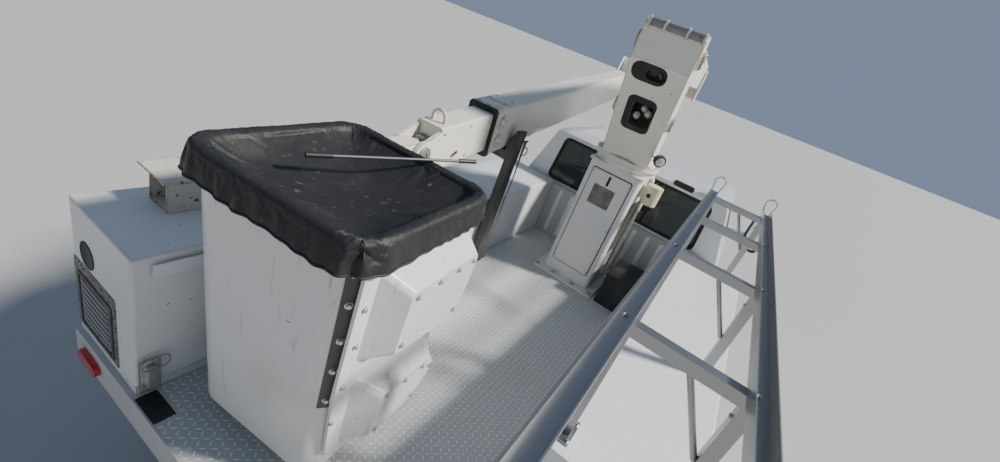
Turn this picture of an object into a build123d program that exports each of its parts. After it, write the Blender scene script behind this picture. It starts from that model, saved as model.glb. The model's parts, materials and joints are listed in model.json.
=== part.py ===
"""A cherry picker truck: a regular-cab service truck with an articulated, telescopic boom.

Frame: +X forward, +Y to the street side (left), +Z up, millimetres.
The origin is on the ground, at the middle of the truck's length and width.
"""
from build123d import *
import os
from math import cos, radians, sin, tan

os.makedirs("parts", exist_ok=True)

# Whole truck, from the tail forwards; every place along it follows from these lengths
TAIL_OVERHANG = 100          # hitch and rack tails behind the deck's rear edge
DECK_LENGTH = 3360
CAB_GAP = 40                 # between the headboard and the cab
CAB_LENGTH = 1830
NOSE_LENGTH = 1170
BUMPER_REACH = 140
LENGTH = TAIL_OVERHANG + DECK_LENGTH + CAB_GAP + CAB_LENGTH + NOSE_LENGTH + BUMPER_REACH
REAR_X = -LENGTH / 2 + TAIL_OVERHANG
HEADBOARD_X = REAR_X + DECK_LENGTH
CAB_BACK_X = HEADBOARD_X + CAB_GAP
CAB_FRONT_X = CAB_BACK_X + CAB_LENGTH
NOSE_FRONT_X = CAB_FRONT_X + NOSE_LENGTH
DECK_TOP = 1005

# Wheels and axles
TYRE_R = 405
TYRE_W = 225
TREAD_W = 190
RIM_R = 248
RIM_WALL = 14
REAR_AXLE_X = REAR_X + 1266
FRONT_AXLE_X = CAB_FRONT_X + 336
FRONT_TRACK_HALF = 950
KINGPIN_Y = 800
DUAL_INNER_Y = 770
DUAL_OUTER_Y = 1050
DUAL_MIDDLE_Y = (DUAL_INNER_Y + DUAL_OUTER_Y) / 2
SPINDLE_R = 38
HUB_GAP = 0.5                # a wheel's bore round its spindle
SEAT_GAP = 0.3               # between a closed door, lid or bearing and its seat
HINGE_R = 6                  # a door's hinge knuckle, which lies outside its face
HINGE_LEAF = 36
HINGE_LEAF_T = 3
HINGE_IN = 2                 # from the opening's edge to the knuckle's axis

# Frame rails
RAIL_TOP = 860
RAIL_DEPTH = 190
RAIL_FLANGE = 75
RAIL_WALL = 8
RAIL_OUT = 432               # centre line to a rail's outer face
RAIL_REAR_X = REAR_X + 30
RAIL_FRONT_X = NOSE_FRONT_X - 70
HITCH_PIN_R = 8

# Deck and side bodies
DECK_PLATE = 5
SHELF_LENGTH = 650           # the full-width tail shelf behind the side bodies
BODY_HALF = 1185
WALL_Y = 640                 # inner wall of a side body
BODY_TOP = DECK_TOP + 516
BODY_BOTTOM = 520
BODY_WALL = 12
ARCH_R = 500
SIDE_DOOR_T = 24
SIDE_DOOR_GAP = 4

# Cab
CAB_HALF = 1015
CAB_ROOF = 2035
CAB_SKIN = 42
CAB_DOOR_T = 62
DOOR_GAP = 7
GLASS_T = 6
NOSE_SKIN = 26

# Boom, in the plane it is stowed in: along = forward from the slew axis, side = to the left
SLEW_X = HEADBOARD_X - 440
SLEW_Y = 0
STOW_YAW = 6                 # degrees to the left of straight ahead
PEDESTAL_W = 418
PEDESTAL_TOP = DECK_TOP + 1030
TURRET_FLOOR = PEDESTAL_TOP + 80
TURRET_W = 354
TURRET_BASE_T = 40
CHEEK_T = 14
BOOM_PIN_R = 30              # at the turret, elbow and upper boom's root
TIP_PIN_R = 22
LOWER_PIVOT = (-600, TURRET_FLOOR + 750)
ELBOW_ALONG = 2880
LOWER_W = 220
LOWER_H = 280
LOWER_WALL = 12
UPPER_SIDE = 830             # outer boom's centre, left of the slew axis
UPPER_W = 200
UPPER_H = 310
UPPER_WALL = 11
UPPER_PITCH = 6              # degrees, rising towards the elbow
MOUTH_ALONG = -980
MOUTH_TOP = DECK_TOP + 1205
INNER_W = 160
INNER_H = 250
INNER_WALL = 9
INNER_SHOWN = 560
INNER_HIDDEN = 2500
TIP_REACH = 130              # tip pivot behind the inner boom's end

# Bucket, in the boom's plane
BUCKET_ALONG = -2392
BUCKET_L = 670
BUCKET_W = 672
BUCKET_LEFT = 876            # its left wall parks beside the side body, whatever its width
BUCKET_SIDE = BUCKET_LEFT - BUCKET_W / 2
BUCKET_FLOOR = DECK_TOP + 88
BUCKET_TOP = DECK_TOP + 1120
BUCKET_WALL = 10
BUCKET_DRAFT = 40
BUCKET_CORNER = 90


def section(x):
    """A plane across the truck at x: its own x is to the left, its own y is up."""
    return Plane(origin=(x, 0, 0), x_dir=(0, 1, 0), z_dir=(1, 0, 0))


def side(y):
    """A plane along the truck at y: its own x is forward, its own y is up, facing the right."""
    return Plane(origin=(0, y, 0), x_dir=(1, 0, 0), z_dir=(0, -1, 0))


def level(z):
    return Plane.XY.offset(z)


def keep(name, part):
    part.label = name
    export_step(part, f"parts/{name}.step")


def keep_stowed(name, part):
    """The boom's pieces are drawn straight ahead of the slew axis, then turned to where they park."""
    keep(name, part.rotate(Axis((SLEW_X, SLEW_Y, 0), (0, 0, 1)), STOW_YAW))


def along(value):
    return SLEW_X + value


def polygon(points):
    Polygon(*points, align=None)


def block(x, y, z):
    """A box between two values on each axis."""
    with BuildPart() as made:
        with Locations(((x[0] + x[1]) / 2, (y[0] + y[1]) / 2, (z[0] + z[1]) / 2)):
            Box(x[1] - x[0], y[1] - y[0], z[1] - z[0])
    return made.part


# Frame rails with their cross members, and the hitch under the tail
CROSS_MEMBERS = (REAR_X + 120, REAR_AXLE_X - 276, REAR_AXLE_X + 564, HEADBOARD_X - 610, CAB_BACK_X + 200,
                 CAB_BACK_X + 900, NOSE_FRONT_X - 200)
CROSS_W = 70
CROSS_H = 100
RECEIVER_OUT = 76
RECEIVER_IN = 51
HITCH_Z = 560
with BuildPart() as chassis_frame:
    for hand in (-1, 1):
        with BuildSketch(section(RAIL_REAR_X)):
            with Locations((hand * (RAIL_OUT - RAIL_FLANGE / 2), RAIL_TOP - RAIL_DEPTH / 2)):
                Rectangle(RAIL_FLANGE, RAIL_DEPTH)
            with Locations((hand * (RAIL_OUT - RAIL_FLANGE / 2 - RAIL_WALL), RAIL_TOP - RAIL_DEPTH / 2)):
                Rectangle(RAIL_FLANGE, RAIL_DEPTH - 2 * RAIL_WALL, mode=Mode.SUBTRACT)
        extrude(amount=RAIL_FRONT_X - RAIL_REAR_X)
    for place in CROSS_MEMBERS:
        with BuildSketch(side(0)):
            with Locations((place, RAIL_TOP - RAIL_WALL - CROSS_H / 2)):
                Rectangle(CROSS_W, CROSS_H)
                with Locations((0, -RAIL_WALL)):
                    Rectangle(CROSS_W - 2 * RAIL_WALL, CROSS_H, mode=Mode.SUBTRACT)
        extrude(amount=RAIL_OUT - RAIL_WALL, both=True)

with BuildPart() as hitch_receiver:
    with BuildSketch(side(0)):
        with Locations((REAR_X + 110, HITCH_Z)):
            Rectangle(RECEIVER_OUT, RECEIVER_OUT)
    extrude(amount=RAIL_OUT, both=True)
    for hand in (-1, 1):
        with BuildSketch(side(hand * (RAIL_OUT - 5))):
            with Locations((REAR_X + 150, HITCH_Z + 10)):
                Rectangle(220, 200)
        extrude(amount=5, both=True)
    with Locations((REAR_X + 150, 0, RAIL_TOP - RAIL_DEPTH - 5)):
        Box(200, 2 * RAIL_OUT, 10)
    with BuildSketch(section(REAR_X - TAIL_OVERHANG)):
        with Locations((0, HITCH_Z)):
            Rectangle(RECEIVER_OUT, RECEIVER_OUT)
    extrude(amount=340)
    with BuildSketch(section(REAR_X - TAIL_OVERHANG)):
        with Locations((0, HITCH_Z)):
            Rectangle(RECEIVER_IN, RECEIVER_IN)
    extrude(amount=340, mode=Mode.SUBTRACT)
    with Locations((REAR_X + 110, 0, RAIL_TOP - RAIL_DEPTH - 60)):
        Box(2 * RAIL_WALL, 2 * RAIL_OUT - 20, 110)
    with BuildSketch(side(0)):
        with Locations((REAR_X - TAIL_OVERHANG + 65, HITCH_Z)):
            Circle(HITCH_PIN_R)
    extrude(amount=RECEIVER_OUT, both=True, mode=Mode.SUBTRACT)

# Engine and gearbox, one plain block on the rails
ENGINE_REAR = CAB_FRONT_X + 70
ENGINE_L = 800
ENGINE_W = 560
GEARBOX_REAR = CAB_FRONT_X - 830
SHAFT_FRONT_Z = 690
with BuildPart() as engine_block:
    with Locations((ENGINE_REAR + ENGINE_L / 2, 0, 900)):
        Box(ENGINE_L, ENGINE_W, 520)
    with BuildSketch(section(GEARBOX_REAR)):
        with Locations((0, SHAFT_FRONT_Z)):
            RectangleRounded(240, 90, 30)
    with BuildSketch(section(ENGINE_REAR)):
        with Locations((0, SHAFT_FRONT_Z + 80)):
            RectangleRounded(420, 240, 60)
    loft()
    with Locations((ENGINE_REAR + 520, 0, RAIL_TOP + 25)):
        Box(90, 2 * RAIL_OUT - 60, 50)

# Axles
SPRING_Y = 512
AXLE_TUBE_R = 55
with BuildPart() as rear_axle:
    with BuildSketch(section(REAR_AXLE_X)):
        with BuildLine():
            Polyline((0, TYRE_R), (960, TYRE_R), (960, TYRE_R + SPINDLE_R), (640, TYRE_R + SPINDLE_R),
                     (640, TYRE_R + AXLE_TUBE_R), (440, TYRE_R + AXLE_TUBE_R),
                     (300, TYRE_R + AXLE_TUBE_R + 10))
            ThreePointArc((300, TYRE_R + AXLE_TUBE_R + 10), (170, TYRE_R + 165), (0, TYRE_R + 195))
            Line((0, TYRE_R + 195), (0, TYRE_R))
        make_face()
        mirror(about=Plane.YZ)
    revolve(axis=Axis((REAR_AXLE_X, 0, TYRE_R), (0, 1, 0)))

BEAM_W = 80
EYE_R = 36
EYE_H = 100
KINGPIN_R = 15
with BuildPart() as front_axle:
    with BuildSketch(section(FRONT_AXLE_X)):
        polygon([(-KINGPIN_Y, TYRE_R - 45), (-KINGPIN_Y, TYRE_R + 45), (-640, TYRE_R + 45),
                 (-560, TYRE_R + 25), (560, TYRE_R + 25), (640, TYRE_R + 45), (KINGPIN_Y, TYRE_R + 45),
                 (KINGPIN_Y, TYRE_R - 45), (640, TYRE_R - 45), (560, TYRE_R - 65),
                 (-560, TYRE_R - 65), (-640, TYRE_R - 45)])
    extrude(amount=BEAM_W / 2, both=True)
    for hand in (-1, 1):
        with BuildSketch(level(TYRE_R - EYE_H / 2)):
            with Locations((FRONT_AXLE_X, hand * KINGPIN_Y)):
                Circle(EYE_R)
        extrude(amount=EYE_H)
    for hand in (-1, 1):
        with BuildSketch(level(TYRE_R - EYE_H)):
            with Locations((FRONT_AXLE_X, hand * KINGPIN_Y)):
                Circle(KINGPIN_R + HUB_GAP)
        extrude(amount=2 * EYE_H, mode=Mode.SUBTRACT)

LUG_T = 22
LUG_GAP = 1
for hand, name in ((1, "left"), (-1, "right")):
    with BuildPart() as knuckle:
        for foot in (TYRE_R - EYE_H / 2 - LUG_GAP - LUG_T, TYRE_R + EYE_H / 2 + LUG_GAP):
            with BuildSketch(level(foot)):
                with Locations((FRONT_AXLE_X, hand * KINGPIN_Y)):
                    Circle(EYE_R)
                with Locations((FRONT_AXLE_X, hand * (KINGPIN_Y + 35))):
                    Rectangle(2 * EYE_R, 70)
            extrude(amount=LUG_T)
        with BuildSketch(side(hand * (KINGPIN_Y + 58))):
            with Locations((FRONT_AXLE_X, TYRE_R)):
                RectangleRounded(110, EYE_H + 2 * LUG_GAP + 2 * LUG_T, 20)
        extrude(amount=12, both=True)
        with BuildSketch(side(hand * (KINGPIN_Y + 140))):
            with Locations((FRONT_AXLE_X, TYRE_R)):
                Circle(SPINDLE_R)
        extrude(amount=80, both=True)
        with BuildSketch(level(TYRE_R - EYE_H / 2 - LUG_GAP - LUG_T)):
            with Locations((FRONT_AXLE_X, hand * KINGPIN_Y)):
                Circle(KINGPIN_R)
        extrude(amount=EYE_H + 2 * LUG_GAP + 2 * LUG_T)
    keep(f"knuckle_{name}", knuckle.part)

# Leaf springs: front eye, axle and rear eye of each, and the pack's thickness
SPRING_W = 70
SPRING_T = 42
EYE_Z = 705
SPRINGS = (
    # axle x, half span, middle of the pack above the ground
    (REAR_AXLE_X, 620, TYRE_R + AXLE_TUBE_R + SPRING_T / 2),
    (FRONT_AXLE_X, 560, TYRE_R + 25 + SPRING_T / 2),
)
with BuildPart() as leaf_springs:
    for axle_x, span, seat_z in SPRINGS:
        for hand in (-1, 1):
            with BuildSketch(side(hand * SPRING_Y)):
                with BuildLine() as leaf:
                    ThreePointArc((axle_x - span, EYE_Z), (axle_x, seat_z), (axle_x + span, EYE_Z))
                trace(line_width=SPRING_T)
                with Locations((axle_x - span, EYE_Z), (axle_x + span, EYE_Z)):
                    Circle(34)
            extrude(amount=SPRING_W / 2, both=True)
            with BuildSketch(side(hand * (RAIL_OUT + SPRING_Y) / 2)):
                with Locations((axle_x - span, EYE_Z), (axle_x + span, EYE_Z)):
                    Circle(22)
            extrude(amount=(SPRING_Y - RAIL_OUT) / 2, both=True)

SHAFT_R = 45
shaft_start = Vector(REAR_AXLE_X + 196, 0, TYRE_R + 10)
shaft_end = Vector(GEARBOX_REAR, 0, SHAFT_FRONT_Z)
shaft_plane = Plane(origin=shaft_start, z_dir=shaft_end - shaft_start)
shaft_length = (shaft_end - shaft_start).length
with BuildPart() as driveshaft:
    with BuildSketch(shaft_plane):
        Circle(SHAFT_R)
    extrude(amount=shaft_length)
    with BuildSketch(shaft_plane.offset(40), shaft_plane.offset(shaft_length - 130)):
        Circle(SHAFT_R + 18)
    extrude(amount=90)
    with BuildSketch(Plane.YZ.offset(GEARBOX_REAR)):
        Rectangle(400, 3000)
    extrude(amount=200, mode=Mode.SUBTRACT)

TANK_L = 620
TANK_W = 640
TANK_H = 250
TANK_Z = 560
TANK_REAR = REAR_X + 330
with BuildPart() as fuel_tank:
    with BuildSketch(section(TANK_REAR)):
        with Locations((0, TANK_Z)):
            RectangleRounded(TANK_W, TANK_H, 60)
    extrude(amount=TANK_L)
    fillet(fuel_tank.edges().filter_by(Plane.YZ), 15)
    for place in (150, TANK_L - 150):
        with BuildSketch(section(TANK_REAR + place - 20)):
            with Locations((0, RAIL_TOP - RAIL_DEPTH - 5)):
                Rectangle(2 * RAIL_OUT - 20, 10)
            with Locations((0, TANK_Z)):
                RectangleRounded(TANK_W + 20, TANK_H + 20, 70)
        extrude(amount=40)

# Exhaust: gearbox side to a muffler, then out ahead of the right rear wheel
MUFFLER_REAR = CAB_BACK_X - 550
MUFFLER_L = 620
MUFFLER_Y = -250
MUFFLER_Z = 560
PIPE_R = 32
PIPE_START = (CAB_FRONT_X - 230, -200, 640)
PIPE_BEND = (CAB_BACK_X + 900, MUFFLER_Y, MUFFLER_Z)
with BuildPart() as exhaust:
    with BuildSketch(section(MUFFLER_REAR)):
        with Locations((MUFFLER_Y, MUFFLER_Z)):
            Ellipse(120, 80)
    extrude(amount=MUFFLER_L)
    with BuildLine() as pipe_route:
        FilletPolyline(PIPE_START, PIPE_BEND,
                       (REAR_AXLE_X + 1034, MUFFLER_Y, MUFFLER_Z), (REAR_AXLE_X + 784, MUFFLER_Y - 200, 455),
                       (REAR_AXLE_X + 734, -1080, 455), radius=110)
    with BuildSketch(Plane(origin=PIPE_START, z_dir=Vector(*PIPE_BEND) - Vector(*PIPE_START))):
        Circle(PIPE_R)
    sweep(path=pipe_route.line)
    for place in (50, MUFFLER_L - 50):
        with BuildSketch(section(MUFFLER_REAR + place)):
            with Locations(((MUFFLER_Y - RAIL_OUT + 30) / 2 - 10, RAIL_TOP - RAIL_DEPTH - 12)):
                Rectangle(200, 24)
            with Locations((MUFFLER_Y, RAIL_TOP - RAIL_DEPTH - 30)):
                Rectangle(30, 60)
        extrude(amount=40)


# Wheels: tyre and rim turn about the axle's Y axis
def ring(centre, width, inner, outer):
    with Locations((centre, (inner + outer) / 2)):
        Rectangle(width, outer - inner)


BEAD = 92
WIDEST_R = 318
HAND_HOLES = 8
HAND_HOLE_R = 28
HAND_HOLE_PCR = 158
HUB_R = 95
RIM_IN = RIM_R - RIM_WALL
FRONT_DISC = 88              # the front wheel's disc outboard of the tyre's centre
WHEELS = (
    # name, axle x, tyre centres, disc centre, disc thickness, hub from and to
    ("wheel_front", FRONT_AXLE_X, (FRONT_TRACK_HALF,), FRONT_TRACK_HALF + FRONT_DISC, 14, -130, 60),
    ("wheel_rear", REAR_AXLE_X, (DUAL_INNER_Y, DUAL_OUTER_Y), DUAL_MIDDLE_Y, 24, -190, 130),
)
for wheel_name, axle_x, tyres, disc, disc_t, hub_from, hub_to in WHEELS:
    with BuildPart() as wheel:
        with BuildSketch(Plane(origin=(axle_x, 0, TYRE_R), x_dir=(0, 1, 0), z_dir=(1, 0, 0))):
            for centre in tyres:
                half_tread = TREAD_W / 2
                with BuildLine():
                    Line((centre - BEAD, RIM_R), (centre + BEAD, RIM_R))
                    ThreePointArc((centre + BEAD, RIM_R), (centre + TYRE_W / 2, WIDEST_R),
                                  (centre + half_tread + 5, TYRE_R - 14))
                    Line((centre + half_tread + 5, TYRE_R - 14), (centre + half_tread - 8, TYRE_R))
                    Line((centre + half_tread - 8, TYRE_R), (centre - half_tread + 8, TYRE_R))
                    Line((centre - half_tread + 8, TYRE_R), (centre - half_tread - 5, TYRE_R - 14))
                    ThreePointArc((centre - half_tread - 5, TYRE_R - 14), (centre - TYRE_W / 2, WIDEST_R),
                                  (centre - BEAD, RIM_R))
                make_face()
                ring(centre, 200, RIM_IN, RIM_R)
                ring(centre - 97, 8, RIM_IN, RIM_R + 17)
                ring(centre + 97, 8, RIM_IN, RIM_R + 17)
            if len(tyres) == 2:
                ring(disc, DUAL_OUTER_Y - DUAL_INNER_Y - 160, RIM_IN - 6, RIM_R)
            ring(disc, disc_t, HUB_R - 10, RIM_IN + 4)
            ring(disc + (hub_from + hub_to) / 2, hub_to - hub_from, SPINDLE_R + HUB_GAP, HUB_R)
            ring(disc + hub_to + 6, 12, 0, HUB_R - 18)
        revolve(axis=Axis((axle_x, 0, TYRE_R), (0, 1, 0)))
        with BuildSketch(Plane(origin=(axle_x, disc, TYRE_R), x_dir=(1, 0, 0), z_dir=(0, -1, 0))):
            with PolarLocations(HAND_HOLE_PCR, HAND_HOLES):
                Circle(HAND_HOLE_R)
        extrude(amount=disc_t, both=True, mode=Mode.SUBTRACT)
    keep(f"{wheel_name}_left", wheel.part)
    keep(f"{wheel_name}_right", mirror(wheel.part, about=Plane.XZ))

# Deck: plate, sills on the rails, cross sills, and the tail shelf's skirt
SILL_W = 60
SHELF_SKIRT = 150
HEADBOARD_T = 30
CROSS_SILLS = 6
FIRST_SILL = 500
SILL_STEP = (DECK_LENGTH - FIRST_SILL - 160) / (CROSS_SILLS - 1)
with BuildPart() as deck:
    with BuildSketch(level(DECK_TOP - DECK_PLATE)):
        with Locations((REAR_X + DECK_LENGTH / 2, 0)):
            Rectangle(DECK_LENGTH, 2 * WALL_Y - 1)
        with Locations((REAR_X + SHELF_LENGTH / 2, 0)):
            Rectangle(SHELF_LENGTH, 2 * BODY_HALF)
    extrude(amount=DECK_PLATE)
    for hand in (-1, 1):
        with Locations((REAR_X + DECK_LENGTH / 2 + 20, hand * (RAIL_OUT - SILL_W / 2),
                        (RAIL_TOP + DECK_TOP - DECK_PLATE) / 2)):
            Box(DECK_LENGTH - 120, SILL_W, DECK_TOP - DECK_PLATE - RAIL_TOP)
    for number in range(CROSS_SILLS):
        with Locations((REAR_X + FIRST_SILL + number * SILL_STEP, 0, DECK_TOP - DECK_PLATE - 35)):
            Box(50, 2 * WALL_Y - 2, 70)
    with BuildSketch(level(DECK_TOP - SHELF_SKIRT)):
        with Locations((REAR_X + SHELF_LENGTH / 2, 0)):
            Rectangle(SHELF_LENGTH, 2 * BODY_HALF)
            with Locations((8, 0)):
                Rectangle(SHELF_LENGTH, 2 * BODY_HALF - 24, mode=Mode.SUBTRACT)
    extrude(amount=SHELF_SKIRT - DECK_PLATE)
    with BuildSketch(level(DECK_TOP)):
        with Locations((HEADBOARD_X - HEADBOARD_T / 2, 0)):
            Rectangle(HEADBOARD_T, 2 * WALL_Y - 2)
    extrude(amount=500)

# Side bodies, with a compartment over the wheel and two ahead of it
ARCH_REAR = SHELF_LENGTH + 150
ARCH_FRONT = REAR_AXLE_X + ARCH_R + 74
BAY_SPLIT = HEADBOARD_X - 750
BAYS = (
    # name, hinged edge, from x, to x, from z, to z
    ("wheel", "floor", REAR_X + SHELF_LENGTH + 50, ARCH_FRONT - 10, DECK_TOP + 30, BODY_TOP - 40),
    ("middle", "rear", ARCH_FRONT + 45, BAY_SPLIT - 20, BODY_BOTTOM + 45, BODY_TOP - 40),
    ("front", "front", BAY_SPLIT + 20, HEADBOARD_X - 40, BODY_BOTTOM + 45, BODY_TOP - 40),
)
BAY_WALL = 20
PAN_L = 120
PAN_W = 84
PAN_DEPTH = 14
PADDLE_T = 7
HINGE_AXIS_Y = BODY_HALF + HINGE_R + SEAT_GAP
body_middle_y = (WALL_Y + BODY_HALF) / 2
body_depth = BODY_HALF - WALL_Y
with BuildPart() as side_body:
    with BuildSketch(side(body_middle_y)):
        polygon([(REAR_X + SHELF_LENGTH, DECK_TOP - SHELF_SKIRT), (REAR_X + SHELF_LENGTH, BODY_TOP),
                 (HEADBOARD_X, BODY_TOP), (HEADBOARD_X, BODY_BOTTOM), (REAR_X + ARCH_REAR, BODY_BOTTOM),
                 (REAR_X + ARCH_REAR, DECK_TOP - SHELF_SKIRT)])
        with Locations((REAR_AXLE_X, TYRE_R)):
            Circle(ARCH_R, mode=Mode.SUBTRACT)
    extrude(amount=body_depth / 2, both=True)
    fillet(side_body.edges().filter_by(Axis.X).group_by(Axis.Z)[-1], 14)
    for name, hinge, x0, x1, z0, z1 in BAYS:
        with BuildSketch(side(BODY_HALF)):
            with Locations(((x0 + x1) / 2, (z0 + z1) / 2)):
                Rectangle(x1 - x0, z1 - z0)
        extrude(amount=SIDE_DOOR_T + SEAT_GAP, mode=Mode.SUBTRACT)
        with BuildSketch(side(BODY_HALF)):
            with Locations(((x0 + x1) / 2, (z0 + z1) / 2)):
                Rectangle(x1 - x0 - 2 * BAY_WALL, z1 - z0 - 2 * BAY_WALL)
        extrude(amount=body_depth - BODY_WALL, mode=Mode.SUBTRACT)
keep("side_body_left", side_body.part)
keep("side_body_right", mirror(side_body.part, about=Plane.XZ))

for name, hinge, x0, x1, z0, z1 in BAYS:
    with BuildPart() as side_door:
        with BuildSketch(side(BODY_HALF)):
            with Locations(((x0 + x1) / 2, (z0 + z1) / 2)):
                RectangleRounded(x1 - x0 - 2 * SIDE_DOOR_GAP, z1 - z0 - 2 * SIDE_DOOR_GAP, 6)
        extrude(amount=SIDE_DOOR_T)
        with BuildSketch(side(BODY_HALF)):
            with Locations(((x0 + x1) / 2, (z0 + z1) / 2)):
                RectangleRounded(x1 - x0 - 110, z1 - z0 - 110, 24)
        extrude(amount=5, mode=Mode.SUBTRACT)
        latch = {"floor": ((x0 + x1) / 2, z1 - 120), "rear": (x1 - 130, (z0 + z1) / 2),
                 "front": (x0 + 130, (z0 + z1) / 2)}[hinge]
        with BuildSketch(side(BODY_HALF)):
            with Locations(latch):
                RectangleRounded(PAN_L, PAN_W, 10)
        extrude(amount=PAN_DEPTH, mode=Mode.SUBTRACT)
        with BuildSketch(side(BODY_HALF - PAN_DEPTH)):
            with Locations(latch):
                RectangleRounded(PAN_L - 34, PAN_W - 30, 6)
        extrude(amount=-PADDLE_T)
        if hinge == "floor":
            knuckle_line = Axis(((x0 + x1) / 2, HINGE_AXIS_Y, z0 + HINGE_IN), (1, 0, 0))
            knuckle_l = x1 - x0 - 60
            leaf = block((x0 + 30, x1 - 30), (BODY_HALF - 1, BODY_HALF + HINGE_LEAF_T),
                         (z0 + HINGE_IN + 2, z0 + HINGE_LEAF))
        else:
            hinge_x = x0 + HINGE_IN
            leaf_x = (x0 + HINGE_IN + 2, x0 + HINGE_LEAF)
            if hinge == "front":
                hinge_x = x1 - HINGE_IN
                leaf_x = (x1 - HINGE_LEAF, x1 - HINGE_IN - 2)
            knuckle_line = Axis((hinge_x, HINGE_AXIS_Y, (z0 + z1) / 2), (0, 0, 1))
            knuckle_l = z1 - z0 - 60
            leaf = block(leaf_x, (BODY_HALF - 1, BODY_HALF + HINGE_LEAF_T), (z0 + 30, z1 - 30))
        add(leaf)
        with BuildSketch(Plane(origin=knuckle_line.position - knuckle_line.direction * knuckle_l / 2,
                               z_dir=knuckle_line.direction)):
            Circle(HINGE_R)
        extrude(amount=knuckle_l)
    keep(f"{name}_bay_door_left", side_door.part)
    keep(f"{name}_bay_door_right", mirror(side_door.part, about=Plane.XZ))


# Cab: a side outline and a front outline cross to make each skin
def car_form(outline, front, x_from, x_to, inset):
    with BuildPart() as form:
        with BuildSketch(side(0)):
            polygon(outline)
            if inset:
                offset(amount=-inset, kind=Kind.INTERSECTION)
        extrude(amount=CAB_HALF + 100, both=True)
        with BuildSketch(section(x_from)):
            polygon(front + [(-y, z) for y, z in reversed(front)])
            if inset:
                offset(amount=-inset, kind=Kind.INTERSECTION)
        extrude(amount=x_to - x_from, mode=Mode.INTERSECT)
    return form.part


SILL_Z = 620
COWL_Z = 1415
CAB_SIDE = [(CAB_BACK_X, SILL_Z), (CAB_BACK_X, 1500), (CAB_BACK_X + 35, 1975), (CAB_BACK_X + 120, CAB_ROOF),
            (CAB_BACK_X + 900, CAB_ROOF), (CAB_BACK_X + 1130, CAB_ROOF - 45), (CAB_FRONT_X, COWL_Z),
            (CAB_FRONT_X, SILL_Z)]
CAB_END = [(940, SILL_Z), (CAB_HALF, 700), (CAB_HALF, 1380), (985, 1450), (820, 1960), (740, 2020),
           (640, CAB_ROOF)]
DOOR_SIDE = [(CAB_BACK_X + 450, 690), (CAB_BACK_X + 450, 1480), (CAB_BACK_X + 470, 1950),
             (CAB_BACK_X + 960, 1960), (CAB_BACK_X + 1105, 1915), (CAB_FRONT_X - 150, 1430),
             (CAB_FRONT_X - 150, 690)]
DOOR_WINDOW = [(CAB_BACK_X + 530, 1455), (CAB_BACK_X + 545, 1890), (CAB_BACK_X + 985, 1890),
               (CAB_BACK_X + 1070, 1850), (CAB_FRONT_X - 420, 1455)]
SCREEN_END = [(875, 1440), (785, 1930), (-785, 1930), (-875, 1440)]
REAR_WINDOW = [(740, 1530), (710, 1930), (-710, 1930), (-740, 1530)]
FLOOR_Z = RAIL_TOP + 20


def cab_skin(outer, inner):
    def form(inset):
        return car_form(CAB_SIDE, CAB_END, CAB_BACK_X - 10, CAB_FRONT_X + 10, inset)
    return form(outer) - form(inner)


def through_side(points, grow):
    """A slab the shape of a door or window, on the left half only."""
    with BuildPart() as slab:
        with BuildSketch(side(650)):
            polygon(points)
            if grow:
                offset(amount=grow, kind=Kind.INTERSECTION)
        extrude(amount=-500)
    return slab.part


def through_end(points, x_from, x_to):
    with BuildPart() as slab:
        with BuildSketch(section(x_from)):
            polygon(points)
        extrude(amount=x_to - x_from)
    return slab.part


screen_cut = through_end(SCREEN_END, CAB_BACK_X + 1000, CAB_FRONT_X + 50)
rear_cut = through_end(REAR_WINDOW, CAB_BACK_X - 50, CAB_BACK_X + 200)
door_cut = through_side(DOOR_SIDE, DOOR_GAP)
outer_skin = cab_skin(0, CAB_SKIN)
FLANGE_T = 10
FLANGE_LAP = 16
flange_out = cab_skin(CAB_SKIN - 4, CAB_DOOR_T + FLANGE_T) & (
    through_side(DOOR_SIDE, DOOR_GAP + 20) - through_side(DOOR_SIDE, DOOR_GAP))
flange_in = cab_skin(CAB_DOOR_T + SEAT_GAP, CAB_DOOR_T + FLANGE_T) & (
    through_side(DOOR_SIDE, DOOR_GAP + 10) - through_side(DOOR_SIDE, -FLANGE_LAP))
door_flange = flange_out + flange_in
MOUNT_R = 45
with BuildPart() as cab_shell:
    add(outer_skin)
    with Locations(((CAB_BACK_X + CAB_FRONT_X) / 2, 0, SILL_Z + 130)):
        Box(CAB_FRONT_X - CAB_BACK_X + 20, 2 * RAIL_OUT + 40, 260, mode=Mode.SUBTRACT)
    with Locations(((CAB_BACK_X + CAB_FRONT_X) / 2, 0, FLOOR_Z + 10)):
        Box(CAB_FRONT_X - CAB_BACK_X - 40, 2 * CAB_HALF - 150, 20)
    for hand in (-1, 1):
        with Locations(((CAB_BACK_X + CAB_FRONT_X) / 2, hand * (RAIL_OUT + 30), SILL_Z + 140)):
            Box(CAB_FRONT_X - CAB_BACK_X - 40, 20, 280)
    with Locations((CAB_FRONT_X - 100, 0, SILL_Z + 125)):
        Box(400, 2 * SPRING_Y + 160, 250, mode=Mode.SUBTRACT)
    with BuildSketch(side(0)):
        with Locations((FRONT_AXLE_X, TYRE_R)):
            Circle(ARCH_R)
    extrude(amount=CAB_HALF + 20, both=True, mode=Mode.SUBTRACT)
    add(door_cut, mode=Mode.SUBTRACT)
    add(mirror(door_cut, about=Plane.XZ), mode=Mode.SUBTRACT)
    add(screen_cut, mode=Mode.SUBTRACT)
    add(rear_cut, mode=Mode.SUBTRACT)
    add(door_flange)
    add(mirror(door_flange, about=Plane.XZ))
    with BuildSketch(level(RAIL_TOP)):
        with Locations((CAB_BACK_X + 200, 0), (CAB_BACK_X + 1250, 0)):
            with GridLocations(0, 2 * (RAIL_OUT - RAIL_FLANGE / 2), 1, 2):
                Circle(MOUNT_R)
    extrude(amount=FLOOR_Z - RAIL_TOP + 5)
keep("cab_shell", cab_shell.part)

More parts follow.
